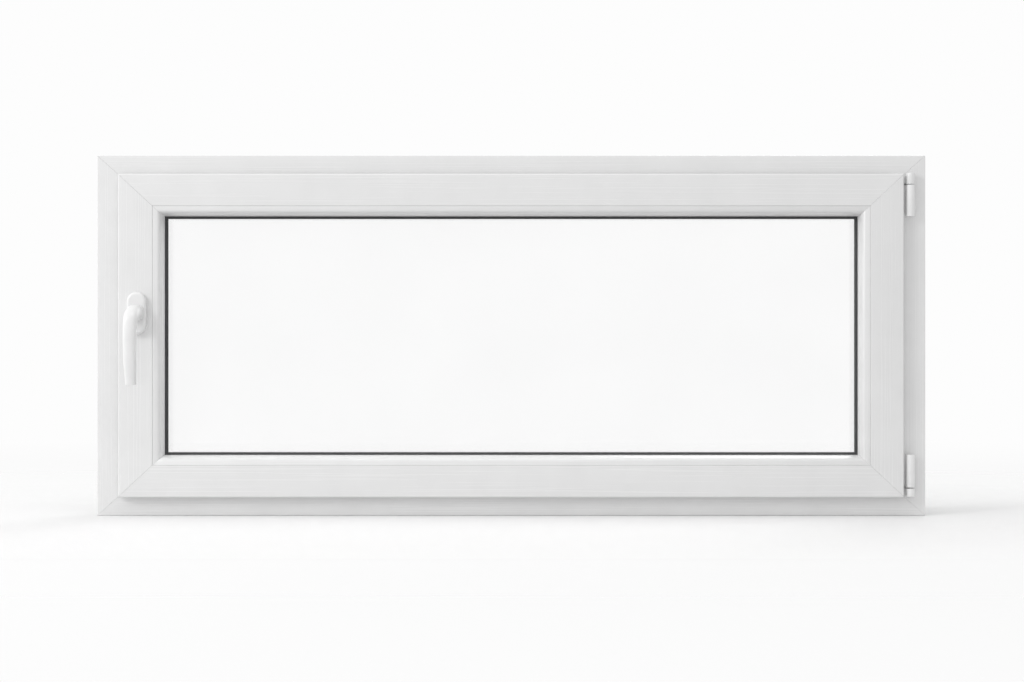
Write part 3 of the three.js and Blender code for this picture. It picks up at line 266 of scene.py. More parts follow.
def shrunk(outline, depth):
    """The outline moved inwards by a depth."""
    area = sum(a[0] * b[1] - b[0] * a[1] for a, b in zip(outline, outline[1:] + outline[:1]))
    turn = 1 if area > 0 else -1
    made = []
    for i, point in enumerate(outline):
        at = Vector(point)
        into = (at - Vector(outline[i - 1])).normalized()
        out = (Vector(outline[(i + 1) % len(outline)]) - at).normalized()
        normal = Vector((-(into.y + out.y), into.x + out.x))
        if normal.length < 1e-6:
            normal = Vector((-into.y, into.x))
        normal.normalize()
        stretch = 1 / max(0.5, normal.dot(Vector((-into.y, into.x))))
        made.append(tuple(at + normal * turn * depth * stretch))
    return made


CORNERS = [(1, False), (-1, False), (-1, True), (1, True)]
SIDES = {"sill": 0, "lock": 1, "head": 2, "hinge": 3}


def lip_share(u, v):
    """How fully a section point belongs to the sash lip over the frame's face."""
    return max(0, 1 - abs(u - FRAME_FACE) / OVERLAP) if v < ROOM_FACE else 0


def across(u, v=0):
    """Distance of a section point from the middle, on an upright."""
    return WIDTH / 2 - UPRIGHT_RATIO * u - LIP_SETBACK * lip_share(u, v)


def inward(u, v):
    """Distance of a section point in from the frame's edge, on a rail."""
    bead = min(1, max(0, (u - BEAD_BREAK) / (SIGHT - BEAD_BREAK)))
    return u - RAIL_LIP * lip_share(u, v) + RAIL_SIGHT * bead


def corner_point(corner, u, v):
    """Where a section point lies in the mitre of a corner."""
    right, top = corner
    reach = 0 if right == 1 else LOCK_LIP * lip_share(u, v)
    x = right * (across(u, v) + reach)
    z = inward(u, v)
    return Vector((x, v, HEIGHT - z if top else z))


def profile_bar(name, outline, side, material, groove=0.3, seam=0.1):
    """A length of profile between its mitres. Its ends dip a little, as the cleaned weld seam does."""
    start, end = CORNERS[SIDES[side]], CORNERS[(SIDES[side] + 1) % 4]
    along = 0 if start[1] == end[1] else 2
    inner = shrunk(outline, groove)
    rings = []
    for corner, other, sunk, back in (
        (start, end, True, 0),
        (start, end, False, 0.5),
        (end, start, False, 0.5),
        (end, start, True, 0),
    ):
        ring = []
        for own, dipped in zip(outline, inner):
            near = corner_point(corner, *own)
            toward = 1 if corner_point(other, *own)[along] > near[along] else -1
            spot = corner_point(corner, *(dipped if sunk else own))
            spot[along] += toward * (seam + back)
            ring.append(tuple(spot))
        rings.append(ring)
    return loft(name, rings, material)


def ring_round(name, outline, material):
    """One piece that runs round all four sides, such as a seal."""
    rings = [[tuple(corner_point(corner, u, v)) for u, v in outline] for corner in CORNERS]
    return loft(name, rings, material, closed=True)


# ---------- Materials ----------


def shaded(name, **shader_inputs):
    """A new material with a Principled shader whose even values are set on its own sockets."""
    material = bpy.data.materials.new(name)
    material.use_nodes = True
    shader = material.node_tree.nodes["Principled BSDF"]
    for socket, value in shader_inputs.items():
        shader.inputs[socket.replace("_", " ")].default_value = value
    return material, material.node_tree, shader


def speckle(tree, spacing, stretch=(1, 1, 1), detail=2.0):
    """Noise whose marks are about spacing millimetres apart, drawn out along an axis by stretch."""
    coordinates = add_node(tree, "ShaderNodeTexCoord")
    scale = [1 / (spacing * MM * s) for s in stretch]
    mapping = add_node(tree, "ShaderNodeMapping", {"Vector": coordinates.outputs["Object"], "Scale": scale})
    noise = {"Vector": mapping.outputs[0], "Scale": 1.0, "Detail": detail, "Roughness": 0.5}
    return add_node(tree, "ShaderNodeTexNoise", noise).outputs["Fac"]


def skin(tree, shader, tint, colours, gloss, roughness, relief, depth):
    """Drifting colour, varied gloss and relief of a depth in millimetres, each by its own pattern."""
    spread = {"From Min": 0.3, "From Max": 0.7}
    drift = add_node(tree, "ShaderNodeMapRange", {"Value": tint, **spread})
    mix = add_node(tree, "ShaderNodeMix", data_type="RGBA")
    tree.links.new(drift.outputs[0], mix.inputs["Factor"])
    mix.inputs["A"].default_value, mix.inputs["B"].default_value = (linear(colour) for colour in colours)
    tree.links.new(mix.outputs["Result"], shader.inputs["Base Color"])
    if gloss:
        ends = {"To Min": roughness[0], "To Max": roughness[1]}
        varied = add_node(tree, "ShaderNodeMapRange", {"Value": gloss, **spread, **ends})
        tree.links.new(varied.outputs[0], shader.inputs["Roughness"])
    if relief:
        bump = add_node(tree, "ShaderNodeBump", {"Height": relief, "Distance": depth * MM, "Strength": 1.0})
        tree.links.new(bump.outputs[0], shader.inputs["Normal"])


PVC_COLOURS = ("#e4e4e4", "#e1e1e1")
DIE_LINE_STRETCH = 160.0  # how many times longer a die line is than the space to the next


def extruded_pvc(name, along):
    """Extruded white PVC-U: a satin skin with faint die lines along the profile and a very soft waviness."""
    material, tree, shader = shaded(name, IOR=1.53, Metallic=0.0)
    stretch = [1.0, 1.0, 1.0]
    stretch[along] = DIE_LINE_STRETCH
    die_lines = speckle(tree, 1.6, stretch, detail=3.0)
    soft = speckle(tree, 60.0, detail=2.0)
    skin(tree, shader, soft, PVC_COLOURS, die_lines, (0.2, 0.3), die_lines, 0.012)
    return material


def epdm_rubber():
    """Extruded EPDM seal: dull black with a dusty bloom."""
    material, tree, shader = shaded("epdm_rubber_extruded", IOR=1.52)
    bloom = speckle(tree, 3.0, detail=4.0)
    grain = speckle(tree, 0.6, detail=2.0)
    skin(tree, shader, bloom, ("#313233", "#3b3c3d"), bloom, (0.5, 0.72), grain, 0.02)
    return material


def float_glass():
    """Clear float glass: fire-polished and flat, a trace of grey from its iron and a breath of dust."""
    material, tree, shader = shaded("float_glass_clear", IOR=1.52, Roughness=0.0, Transmission_Weight=0.99)
    skin(tree, shader, speckle(tree, 180.0, detail=1.0), ("#fdfdfd", "#fefefe"), None, None, None, None)
    path = add_node(tree, "ShaderNodeLightPath")
    clear = add_node(tree, "ShaderNodeBsdfTransparent", {"Color": linear("#fbfbfb")})
    parts = {0: path.outputs["Is Shadow Ray"], 1: shader.outputs[0], 2: clear.outputs[0]}
    mixed = add_node(tree, "ShaderNodeMixShader", parts)
    tree.links.new(mixed.outputs[0], tree.nodes["Material Output"].inputs["Surface"])
    return material


def coated_metal(name, light, dark, rough=(0.28, 0.4)):
    """Powder-coated metal: an even satin film with a fine orange peel about 1.5 mm across."""
    material, tree, shader = shaded(name, IOR=1.5)
    film = speckle(tree, 1.5, detail=2.0)
    drift = speckle(tree, 25.0)
    skin(tree, shader, drift, (light, dark), film, rough, film, 0.01)
    return material


def moulded_plastic(name, light, dark, rough=(0.35, 0.5), grain=0.5):
    """Injection-moulded plastic: a fine spark-eroded grain."""
    material, tree, shader = shaded(name, IOR=1.5)
    sparks = speckle(tree, grain, detail=3.0)
    skin(tree, shader, speckle(tree, 12.0), (light, dark), sparks, rough, sparks, 0.015)
    return material


def plated_metal(name, light, dark, rough=(0.25, 0.45), spangle=2.0):
    """Zinc-plated or bare metal: cloudy brightness and rubbed marks."""
    material, tree, shader = shaded(name, Metallic=1.0)
    cloud = speckle(tree, spangle, detail=4.0)
    marks = speckle(tree, 0.7, (6, 1, 6), detail=2.0)
    skin(tree, shader, cloud, (light, dark), cloud, rough, marks, 0.01)
    return material


light_studio()
RAIL_PVC = extruded_pvc("pvc_extruded_rail", 0)
UPRIGHT_PVC = extruded_pvc("pvc_extruded_upright", 2)
RUBBER = epdm_rubber()
GLASS = float_glass()
LACQUER = coated_metal("aluminium_powder_coated_white", "#e6e6e6", "#e3e3e3", rough=(0.32, 0.44))
HINGE_COAT = coated_metal("zinc_powder_coated_white", "#e5e5e5", "#e2e2e2")
WHITE_NYLON = moulded_plastic("nylon_moulded_white", "#e8e8e8", "#e5e5e5")
PLATED_STEEL = plated_metal("steel_zinc_plated", "#c9ccd0", "#b4b8bc")
DIECAST = plated_metal("zinc_diecast", "#bcbfc2", "#a6a9ad", rough=(0.35, 0.55), spangle=0.8)
GALVANISED = plated_metal("steel_hot_dip_galvanised", "#aab0b5", "#8c9297", rough=(0.35, 0.6), spangle=9.0)
SPACER = plated_metal("aluminium_rolled", "#b9bbbd", "#a3a5a8", rough=(0.3, 0.4), spangle=5.0)
BUTYL = moulded_plastic("butyl_sealant", "#2b2b2d", "#1f1f21", rough=(0.7, 0.85), grain=2.5)
PACKER_BLUE = moulded_plastic("polypropylene_moulded_blue", "#3c6ea8", "#356398")
CORE_GREY = moulded_plastic("nylon_moulded_grey", "#6d6f72", "#5f6164")
SIDE_PVC = {"sill": RAIL_PVC, "head": RAIL_PVC, "lock": UPRIGHT_PVC, "hinge": UPRIGHT_PVC}


FLOOR_COLOURS = ("#e9e9e9", "#ebebeb")
FLOOR_BEYOND_PAINTED_SHADE = 0.3  # how much of the board is left once the painted shade round the object's foot has faded
FLOOR_PAINTED_FOOT_SHADE = (0.12, 0.6)  # metres from the frame's foot: the darker board is whole here and fades out, a painted shade round the foot
FLOOR_FADE = (0.9, 2.2)  # metres
FLOOR_RADIUS = 9000
FLOOR_SIDES = 64
FLOOR_TOP = -0.05


def studio_floor():
    """Pale matt board, whole at the object's foot so that its darker tone there is a painted shade round the
    foot, and fading into the white of the room further out.
    """
    material, tree, shader = shaded("board_white_with_painted_foot_shade", Roughness=0.9, Specular_IOR_Level=0.0)
    skin(tree, shader, speckle(tree, 900.0, detail=1.0), FLOOR_COLOURS, None, None, None, None)
    coordinates = add_node(tree, "ShaderNodeTexCoord")
    beside = add_node(tree, "ShaderNodeVectorMath", {0: coordinates.outputs["Object"]}, operation="ABSOLUTE")
    foot = (WIDTH / 2 * MM, WEATHER_FACE * MM, 1.0)
    past = add_node(tree, "ShaderNodeVectorMath", {0: beside.outputs[0], 1: foot}, operation="SUBTRACT")
    outside = add_node(tree, "ShaderNodeVectorMath", {0: past.outputs[0], 1: (0, 0, 0)}, operation="MAXIMUM")
    length = add_node(tree, "ShaderNodeVectorMath", {0: outside.outputs[0]}, operation="LENGTH")
    distance = length.outputs["Value"]
    fades = []
    # The first fade is the painted shade round the object's foot; the second blends the board into the
    # room's white.
    for (start, end), left in ((FLOOR_PAINTED_FOOT_SHADE, FLOOR_BEYOND_PAINTED_SHADE), (FLOOR_FADE, 0.0)):
        spread = {"Value": distance, "From Min": start, "From Max": end, "To Min": 1.0, "To Max": left}
        fades.append(add_node(tree, "ShaderNodeMapRange", spread).outputs[0])
    both = add_node(tree, "ShaderNodeMath", {0: fades[0], 1: fades[1]}, operation="MULTIPLY")
    tree.links.new(both.outputs[0], shader.inputs["Alpha"])
    turns = [i * math.tau / FLOOR_SIDES for i in range(FLOOR_SIDES)]
    rim = [(FLOOR_RADIUS * math.cos(a), FLOOR_RADIUS * math.sin(a), FLOOR_TOP) for a in turns]
    mesh_object("studio_floor", rim, [tuple(range(FLOOR_SIDES))], material)


studio_floor()

# ---------- Repeated details, made by Geometry Nodes ----------


def node_group(name, sizes):
    """An empty geometry tree whose inputs are points, a material and named sizes."""
    tree = bpy.data.node_groups.new(name, "GeometryNodeTree")
    tree.interface.new_socket("Geometry", in_out="INPUT", socket_type="NodeSocketGeometry")
    tree.interface.new_socket("Material", in_out="INPUT", socket_type="NodeSocketMaterial")
    for title, size in sizes.items():
        kind = "NodeSocketVector" if isinstance(size, tuple) else "NodeSocketFloat"
        tree.interface.new_socket(title, in_out="INPUT", socket_type=kind)
    tree.interface.new_socket("Geometry", in_out="OUTPUT", socket_type="NodeSocketGeometry")
    return tree, add_node(tree, "NodeGroupInput").outputs


def put_on_points(tree, given, shape, turn):
    """Ends a tree: the shape on every point, turned, made real and given its material."""
    placed = add_node(
        tree,
        "GeometryNodeInstanceOnPoints",
        {"Points": given["Geometry"], "Instance": shape.outputs[0], "Rotation": turn.outputs[0]},
    )
    real = add_node(tree, "GeometryNodeRealizeInstances", {0: placed.outputs[0]})
    dressed = add_node(
        tree, "GeometryNodeSetMaterial", {"Geometry": real.outputs[0], "Material": given["Material"]}
    )
    add_node(tree, "NodeGroupOutput", {0: dressed.outputs[0]})
    return tree


HEAD_SIDES = 28
HEAD_RINGS = 12
CROWN_SCALE = (0.995, 0.995, 0.16)  # a ball this flat is the head's dome
DRILL_SIDES = 24


def screw_heads(sizes):
    """Domed countersunk screw heads with a cross recess, each turned to its point's facing."""
    tree, given = node_group("screw_heads", sizes)
    radius = given["Head Radius"]
    disc = {"Vertices": HEAD_SIDES, "Radius": radius, "Depth": given["Head Height"]}
    rim = add_node(tree, "GeometryNodeMeshCylinder", disc)
    globe = {"Segments": HEAD_SIDES, "Rings": HEAD_RINGS, "Radius": radius}
    ball = add_node(tree, "GeometryNodeMeshUVSphere", globe)
    crown = add_node(
        tree,
        "GeometryNodeTransform",
        {"Geometry": ball.outputs[0], "Translation": given["Crown Lift"], "Scale": CROWN_SCALE},
    )
    head = add_node(tree, "GeometryNodeMeshBoolean", operation="UNION", solver="EXACT")
    tree.links.new(rim.outputs[0], head.inputs["Mesh 2"])
    tree.links.new(crown.outputs[0], head.inputs["Mesh 2"])
    cross = add_node(tree, "GeometryNodeMeshBoolean", operation="DIFFERENCE", solver="EXACT")
    tree.links.new(head.outputs[0], cross.inputs["Mesh 1"])
    blade = add_node(tree, "GeometryNodeMeshCube", {"Size": given["Recess Size"]})
    for turn in (0, math.pi / 2):
        raised = add_node(
            tree,
            "GeometryNodeTransform",
            {"Geometry": blade.outputs[0], "Translation": given["Recess Lift"], "Rotation": (0, 0, turn)},
        )
        tree.links.new(raised.outputs[0], cross.inputs["Mesh 2"])
    facing = add_node(tree, "GeometryNodeInputNamedAttribute", {"Name": "facing"}, data_type="FLOAT_VECTOR")
    turned = add_node(tree, "FunctionNodeAlignRotationToVector", {"Vector": facing.outputs[0]}, axis="Z")
    return put_on_points(tree, given, cross, turned)


def round_ended_slots(sizes):
    """Milled slots with round ends, each turned about X by its point's facing."""
    tree, given = node_group("round_ended_slots", sizes)
    middle = add_node(tree, "GeometryNodeMeshCube", {"Size": given["Slot Size"]})
    bore = {"Vertices": DRILL_SIDES, "Radius": given["End Radius"], "Depth": given["Slot Depth"]}
    drill = add_node(tree, "GeometryNodeMeshCylinder", bore)
    right_end = add_node(
        tree,
        "GeometryNodeTransform",
        {"Geometry": drill.outputs[0], "Translation": given["End Shift"], "Rotation": (math.pi / 2, 0, 0)},
    )
    left_end = add_node(
        tree, "GeometryNodeTransform", {"Geometry": right_end.outputs[0], "Rotation": (0, 0, math.pi)}
    )
    slot = add_node(tree, "GeometryNodeMeshBoolean", operation="UNION", solver="EXACT")
    for piece in (middle, right_end, left_end):
        tree.links.new(piece.outputs[0], slot.inputs["Mesh 2"])
    facing = add_node(tree, "GeometryNodeInputNamedAttribute", {"Name": "facing"}, data_type="FLOAT_VECTOR")
    turned = add_node(tree, "FunctionNodeEulerToRotation", {"Euler": facing.outputs[0]})
    return put_on_points(tree, given, slot, turned)


def grown(name, tree, sizes, spots, material):
    """Runs a tree on points, each with its own facing, and keeps the result as a plain mesh."""
    points = bpy.data.meshes.new(f"{name}_points")
    points.from_pydata([[c * MM for c in spot] for spot, _ in spots], [], [])
    facing = points.attributes.new("facing", "FLOAT_VECTOR", "POINT")
    facing.data.foreach_set("vector", [c for _, own in spots for c in own])
    made = bpy.data.objects.new(name, points)
    bpy.context.scene.collection.objects.link(made)
    modifier = made.modifiers.new("grow", "NODES")
    modifier.node_group = tree
    sockets = {item.name: item.identifier for item in tree.interface.items_tree if item.in_out == "INPUT"}
    modifier[sockets["Material"]] = material
    for title, size in sizes.items():
        modifier[sockets[title]] = [c * MM for c in size] if isinstance(size, tuple) else size * MM
    bake(made)
    finish_surface(made, material, 40)
    return made


SLOT_SIZES = {"Slot Size": (24, 8, 5), "End Radius": 2.5, "Slot Depth": 8, "End Shift": (12, 0, 0)}
SCREW_SIZES = {
    "Head Radius": 3.2,
    "Head Height": 0.7,
    "Crown Lift": (0, 0, 0.35),
    "Recess Size": (3.4, 0.75, 1.4),
    "Recess Lift": (0, 0, 0.84),
}

# ---------- Frame ----------

FRAME_OUTLINE = rounded(
    [
        (0, ROOM_FACE, 1.4),
        (REBATE, ROOM_FACE, 1.5),
        (REBATE, STOP_FACE, 0.6),
        (FRAME_SEAL - 1.5, STOP_FACE),
        (FRAME_SEAL - 1.5, STOP_FACE + SEAL_GROOVE),
        (FRAME_SEAL + 1.5, STOP_FACE + SEAL_GROOVE),
        (FRAME_SEAL + 1.5, STOP_FACE),
        (STOP_TOP, STOP_FACE, 1),
        (STOP_TOP - 5, WEATHER_FACE, 2),
        (0, WEATHER_FACE, 1.2),
        (0, 24),
        (2.2, 24),
        (2.2, 16),
        (0, 16),
        (0, -16),
        (2.2, -16),
        (2.2, -24),
        (0, -24),
    ]
)
DRAIN_SPOTS = (-460, 0, 460)
DRAIN_DEPTH = -6


def cutter(low, high):
    """A box between two corners, to cut with."""
    box = bmesh.new()
    bmesh.ops.create_cube(box, size=1)
    for v in box.verts:
        v.co = Vector([(low[i] + high[i]) / 2 + v.co[i] * (high[i] - low[i]) for i in range(3)]) * MM
    mesh = bpy.data.meshes.new("cutter")
    box.to_mesh(mesh)
    box.free()
    made = bpy.data.objects.new("cutter", mesh)
    bpy.context.scene.collection.objects.link(made)
    return made


def cut_away(made, *tools):
    """Cuts boxes out of a piece."""
    for tool in tools:
        cut = made.modifiers.new("cut", "BOOLEAN")
        cut.operation = "DIFFERENCE"
        cut.solver = "EXACT"
        cut.object = tool
        bake(made)
        bpy.data.objects.remove(tool)


drain_slots = grown(
    "drain_slots",
    round_ended_slots(SLOT_SIZES),
    SLOT_SIZES,
    [((x, DRAIN_DEPTH, REBATE), (math.pi / 2, 0, 0)) for x in DRAIN_SPOTS],
    RAIL_PVC,
)
FRAME_NODES = {
    "sill": "frame_sill",
    "lock": "frame_jamb_lock",
    "head": "frame_head",
    "hinge": "frame_jamb_hinge",
}
for side, node in FRAME_NODES.items():
    bar = profile_bar(f"{node}_profile", FRAME_OUTLINE, side, SIDE_PVC[side])
    if side == "sill":
        cut_away(bar, drain_slots)
        finish_surface(bar, SIDE_PVC[side])
    place(bar, "frame", "pvc_white", node)


def seal_outline(groove_u, groove_v, to_groove, lip):
    """A seal: a barbed foot in its groove and a soft lip."""
    foot = 1.2
    face = groove_v - to_groove * GAP
    bottom = groove_v + to_groove * (SEAL_GROOVE - GAP)
    return rounded(
        [(groove_u - foot, bottom, 0.4), (groove_u + foot, bottom, 0.4), (groove_u + foot, face, 0.2)]
        + lip
        + [(groove_u - foot, face, 0.2)],
        4,
    )


FRAME_SEAL_OUTLINE = seal_outline(
    FRAME_SEAL,
    STOP_FACE,
    1,
    [
        (FRAME_SEAL + 3, STOP_FACE - GAP - 1.2, 0.6),
        (FRAME_SEAL + 2.4, SASH_WEATHER + GAP, 0.8),
        (FRAME_SEAL - 1.6, SASH_WEATHER + GAP + 0.6, 0.6),
    ],
)
place(ring_round("frame_weather_seal", FRAME_SEAL_OUTLINE, RUBBER), "frame", "seal_black", "frame_seal")

# ---------- Sash ----------

HALF_PLATE = 8.2
HALF_CHANNEL = 6.2
SASH_OUTLINE = rounded(
    [
        (FRAME_FACE, SASH_ROOM, 2.5),
        (JOINT - BEAD_JOINT, SASH_ROOM, 0.4),
        (JOINT - BEAD_JOINT, SASH_ROOM + 2),
        (JOINT - GAP, SASH_ROOM + 2),
        (JOINT - GAP, SASH_ROOM + 5),
        (GLAZING_BASE, SASH_ROOM + 5),
        (GLAZING_BASE, SASH_ROOM + 8),
        (GLAZING_BASE - 3.2, SASH_ROOM + 8),
        (GLAZING_BASE - 3.2, SASH_ROOM + 11.4),
        (GLAZING_BASE, SASH_ROOM + 11.4),
        (GLAZING_BASE, GLAZING_STOP),
        (OUTER_SEAL - 1.5, GLAZING_STOP),
        (OUTER_SEAL - 1.5, GLAZING_STOP + SEAL_GROOVE),
        (OUTER_SEAL + 1.5, GLAZING_STOP + SEAL_GROOVE),
        (OUTER_SEAL + 1.5, GLAZING_STOP),
        (SIGHT, GLAZING_STOP, 0.8),
        (SIGHT, GLAZING_STOP + 3, 1),
        (SIGHT - 6.4, SASH_WEATHER, 2),
        (SASH_EDGE, SASH_WEATHER, 2),
        (SASH_EDGE, GROOVE + HALF_PLATE, 0.4),
        (SASH_EDGE + 2.8, GROOVE + HALF_PLATE),
        (SASH_EDGE + 2.8, GROOVE + HALF_CHANNEL),
        (SASH_EDGE + 12.5, GROOVE + HALF_CHANNEL),
        (SASH_EDGE + 12.5, GROOVE - HALF_CHANNEL),
        (SASH_EDGE + 2.8, GROOVE - HALF_CHANNEL),
        (SASH_EDGE + 2.8, GROOVE - HALF_PLATE),
        (SASH_EDGE, GROOVE - HALF_PLATE, 0.4),
        (SASH_EDGE, LIP_BACK, 0.8),
        (LIP_SEAL + 1.5, LIP_BACK),
        (LIP_SEAL + 1.5, LIP_BACK - SEAL_GROOVE),
        (LIP_SEAL - 1.5, LIP_BACK - SEAL_GROOVE),
        (LIP_SEAL - 1.5, LIP_BACK),
        (FRAME_FACE, LIP_BACK, 1),
    ]
)
SASH_NODES = {
    "sill": "sash_bottom_rail",
    "lock": "sash_stile_lock",
    "head": "sash_top_rail",
    "hinge": "sash_stile_hinge",
}
CASE_REACH = 8  # how far the pocket for the gear case is open towards the groove
CASE_SIDE = 0.5
CASE_DEEP = 0.4
CASE_END = 1

for side, node in SASH_NODES.items():
    bar = profile_bar(f"{node}_profile", SASH_OUTLINE, side, SIDE_PVC[side])
    if side == "lock":
        low, high = (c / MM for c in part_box("gear_case"))
        start = (low.x - CASE_REACH, low.y - CASE_DEEP, low.z - CASE_END)
        end = (high.x + CASE_SIDE, high.y + CASE_DEEP, high.z + CASE_END)
        cut_away(bar, cutter(start, end))
        finish_surface(bar, SIDE_PVC[side])
    place(bar, "sash", "pvc_white", node)


BEAD_TOP = -51.5


def bead_outline():
    """Glazing bead: a flat, then a soft S-shaped slope down to the glass."""
    base = GLAZING_BASE + GAP
    slope = interpolate_bezier(
        Vector((BEAD_BREAK - 1, BEAD_TOP)), Vector((BEAD_BREAK + 3.5, BEAD_TOP)),
        Vector((SIGHT - 2.6, -43.5)), Vector((SIGHT, BEAD_BACK - 1.6)), 14,
    )
    foot = [
        (SIGHT, BEAD_BACK),
        (base, BEAD_BACK),
        (base, SASH_ROOM + 11.1),
        (GLAZING_BASE - 2.9, SASH_ROOM + 11.1),
        (GLAZING_BASE - 2.9, SASH_ROOM + 8.3),
        (base, SASH_ROOM + 8.3),
        (base, SASH_ROOM + 5.3),
        (JOINT + GAP, SASH_ROOM + 5.3),
        (JOINT + GAP, SASH_ROOM + 2.3),
    ]
    edge = JOINT + BEAD_JOINT
    corner = rounded([(edge, SASH_ROOM + 2.3), (edge, BEAD_TOP, 0.5), (BEAD_BREAK - 2, BEAD_TOP)], 5)
    return corner[:-1] + [tuple(p[:2]) for p in slope] + foot


BEAD_OUTLINE = bead_outline()
for side in SIDES:
    bead = profile_bar(f"glazing_bead_{side}", BEAD_OUTLINE, side, SIDE_PVC[side], groove=0.15, seam=0.06)
    place(bead, "sash", "pvc_white", f"bead_{side}")

BEAD_SEAL_OUTLINE = rounded(
    [
        (JOINT + 4.3, BEAD_BACK + GAP),
        (SIGHT + 0.4, BEAD_BACK + GAP, 0.2),
        (SIGHT + 1.4, BEAD_BACK - 1.1, 0.5),
        (SEAL_EDGE - 0.6, GLASS_IN - 1.7, 0.8),
        (SEAL_EDGE, GLASS_IN - GAP, 0.3),
        (JOINT + 4.3, GLASS_IN - GAP),
    ],
    4,
)
place(ring_round("room_glazing_seal", BEAD_SEAL_OUTLINE, RUBBER), "sash", "seal_black", "bead_seal")
OUTER_SEAL_OUTLINE = seal_outline(
    OUTER_SEAL,
    GLAZING_STOP,
    1,
    [
        (SIGHT, GLAZING_STOP - GAP, 0.2),
        (OUTER_SEAL_EDGE - 0.2, GLASS_OUT + 1.6, 0.4),
        (OUTER_SEAL_EDGE, GLASS_OUT + GAP, 0.2),
        (OUTER_SEAL - 3.5, GLASS_OUT + GAP),
        (OUTER_SEAL - 3.5, GLAZING_STOP - GAP),
    ],
)
outer_seal = ring_round("weather_glazing_seal", OUTER_SEAL_OUTLINE, RUBBER)
place(outer_seal, "sash", "seal_black", "glazing_seal_weather")

SEAL_TIP = -36.0  # the soft lip stops 1 mm short of the frame's face, and so clears it when the sash tilts
room_seal = softened("sash_room_seal", "sash_seal", RUBBER, 0.05)
for vertex in room_seal.data.vertices:
    vertex.co.y = min(vertex.co.y, SEAL_TIP * MM)
place(room_seal, "sash", "seal_black", "sash_seal")

# ---------- Handle ----------

FACE = SASH_ROOM - GAP
ROSETTE_FRONT = FACE - 11
ROSETTE_SIZE = (32, 70)
ROSETTE_RIM = 4.4


def stadium(width, height, inset, y, steps=20):
    """A level of the rosette's outline."""
    radius = width / 2 - inset
    reach = (height - width) / 2
    points = []
    for end in (1, -1):
        for i in range(steps + 1):
            a = math.pi * i / steps + (0 if end == 1 else math.pi)
            x = SPINDLE.x + radius * math.cos(a)
            points.append((x, y, SPINDLE.z + end * reach + radius * math.sin(a)))
    return points


def rosette():
    """Die-cast cover plate with a rounded rim."""
    levels = [(0.4, FACE), (0, FACE - 0.5)]
    for i in range(9):
        a = math.pi / 2 * i / 8
        dip = ROSETTE_RIM * (1 - math.sin(a))
        levels.append((ROSETTE_RIM * (1 - math.cos(a)), ROSETTE_FRONT + dip))
    levels.append((ROSETTE_RIM + 1.2, ROSETTE_FRONT + 0.02))
    rings = [stadium(*ROSETTE_SIZE, inset, y) for inset, y in levels]
    return loft("handle_rosette", rings, LACQUER, smooth=40)


place(rosette(), "sash", "coated_aluminium", "handle_cover")


LEVER_SIDES = 40
LEVER_SQUARENESS = 2 / 2.25  # 1 is an ellipse, and less is squarer
LEVER_STEPS = 6  # rings from one station to the next
TIP_EDGE = 1.6


def curve_point(before, start, end, after, t):
    """Each number of a station, on the smooth curve that runs from start to end."""
    return [
        0.5 * (2 * b + (c - a) * t + (2 * a - 5 * b + 4 * c - d) * t * t + (3 * b - a - 3 * c + d) * t**3)
        for a, b, c, d in zip(before, start, end, after)
    ]


def lever_ring(centre, heading, width, thickness):
    """The lever's section, a little squarer than an ellipse."""
    through = Vector((1, 0, 0)).cross(heading).normalized()
    points = []
    for j in range(LEVER_SIDES):
        a = math.tau * j / LEVER_SIDES
        c, s = math.cos(a), math.sin(a)
        x = math.copysign(abs(c) ** LEVER_SQUARENESS, c) * width / 2
        t = math.copysign(abs(s) ** LEVER_SQUARENESS, s) * thickness / 2
        points.append(tuple(centre + Vector((x, 0, 0)) + through * t))
    return points


def lever():
    """Handle lever: a round neck, an elbow and a bowed grip that narrows to a square-cut tip."""
    grip = SASH_ROOM - 50
    stations = [  # depth, height, width, thickness, how far aside
        (ROSETTE_FRONT - 0.4, 0, 27.0, 27.0, 0),
        (ROSETTE_FRONT - 8, 0, 26.6, 26.8, 0),
        (ROSETTE_FRONT - 17, -0.4, 26.2, 26.0, 0),
        (ROSETTE_FRONT - 27, -3.2, 25.6, 23.5, -0.4),
        (grip + 1.8, -9.5, 24.4, 20.5, -0.9),
        (grip - 2.0, -20, 23.0, 17.8, -1.3),
        (grip - 3.8, -38, 22.2, 15.8, -1.5),
        (grip - 3.8, -60, 21.6, 14.6, -1.5),
        (grip - 2.4, -85, 20.6, 13.6, -1.2),
        (grip + 0.2, -108, 18.8, 12.8, -0.7),
        (grip + 1.9, -117.4, 18.4, 12.4, -0.6),
    ]
    dense = []
    for i in range(len(stations) - 1):
        a, b = stations[i], stations[i + 1]
        before = stations[max(i - 1, 0)]
        after = stations[min(i + 2, len(stations) - 1)]
        dense += [curve_point(before, a, b, after, s / LEVER_STEPS) for s in range(LEVER_STEPS)]
    dense.append(list(stations[-1]))

    rings = []
    centres = [Vector((SPINDLE.x + aside, y, SPINDLE.z + z)) for y, z, _, _, aside in dense]
    for i, centre in enumerate(centres[:-1]):
        heading = centres[min(i + 1, len(centres) - 1)] - centres[max(i - 1, 0)]
        if i == 0:
            heading = Vector((0, -1, 0))
        rings.append(lever_ring(centre, heading.normalized(), dense[i][2], dense[i][3]))
    tip = centres[-1]
    down = (centres[-1] - centres[-2]).normalized()
    for i in range(6):
        a = math.pi / 2 * i / 5
        back = TIP_EDGE * (1 - math.sin(a))
        inset = 2 * TIP_EDGE * (1 - math.cos(a))
        rings.append(lever_ring(tip - down * back, down, dense[-1][2] - inset, dense[-1][3] - inset))
    return loft("handle_lever_cast", rings, LACQUER, smooth=50)


place(lever(), "handle", "coated_aluminium", "handle_lever")

# ---------- Hinges and fittings: the CAD solids with softened edges ----------

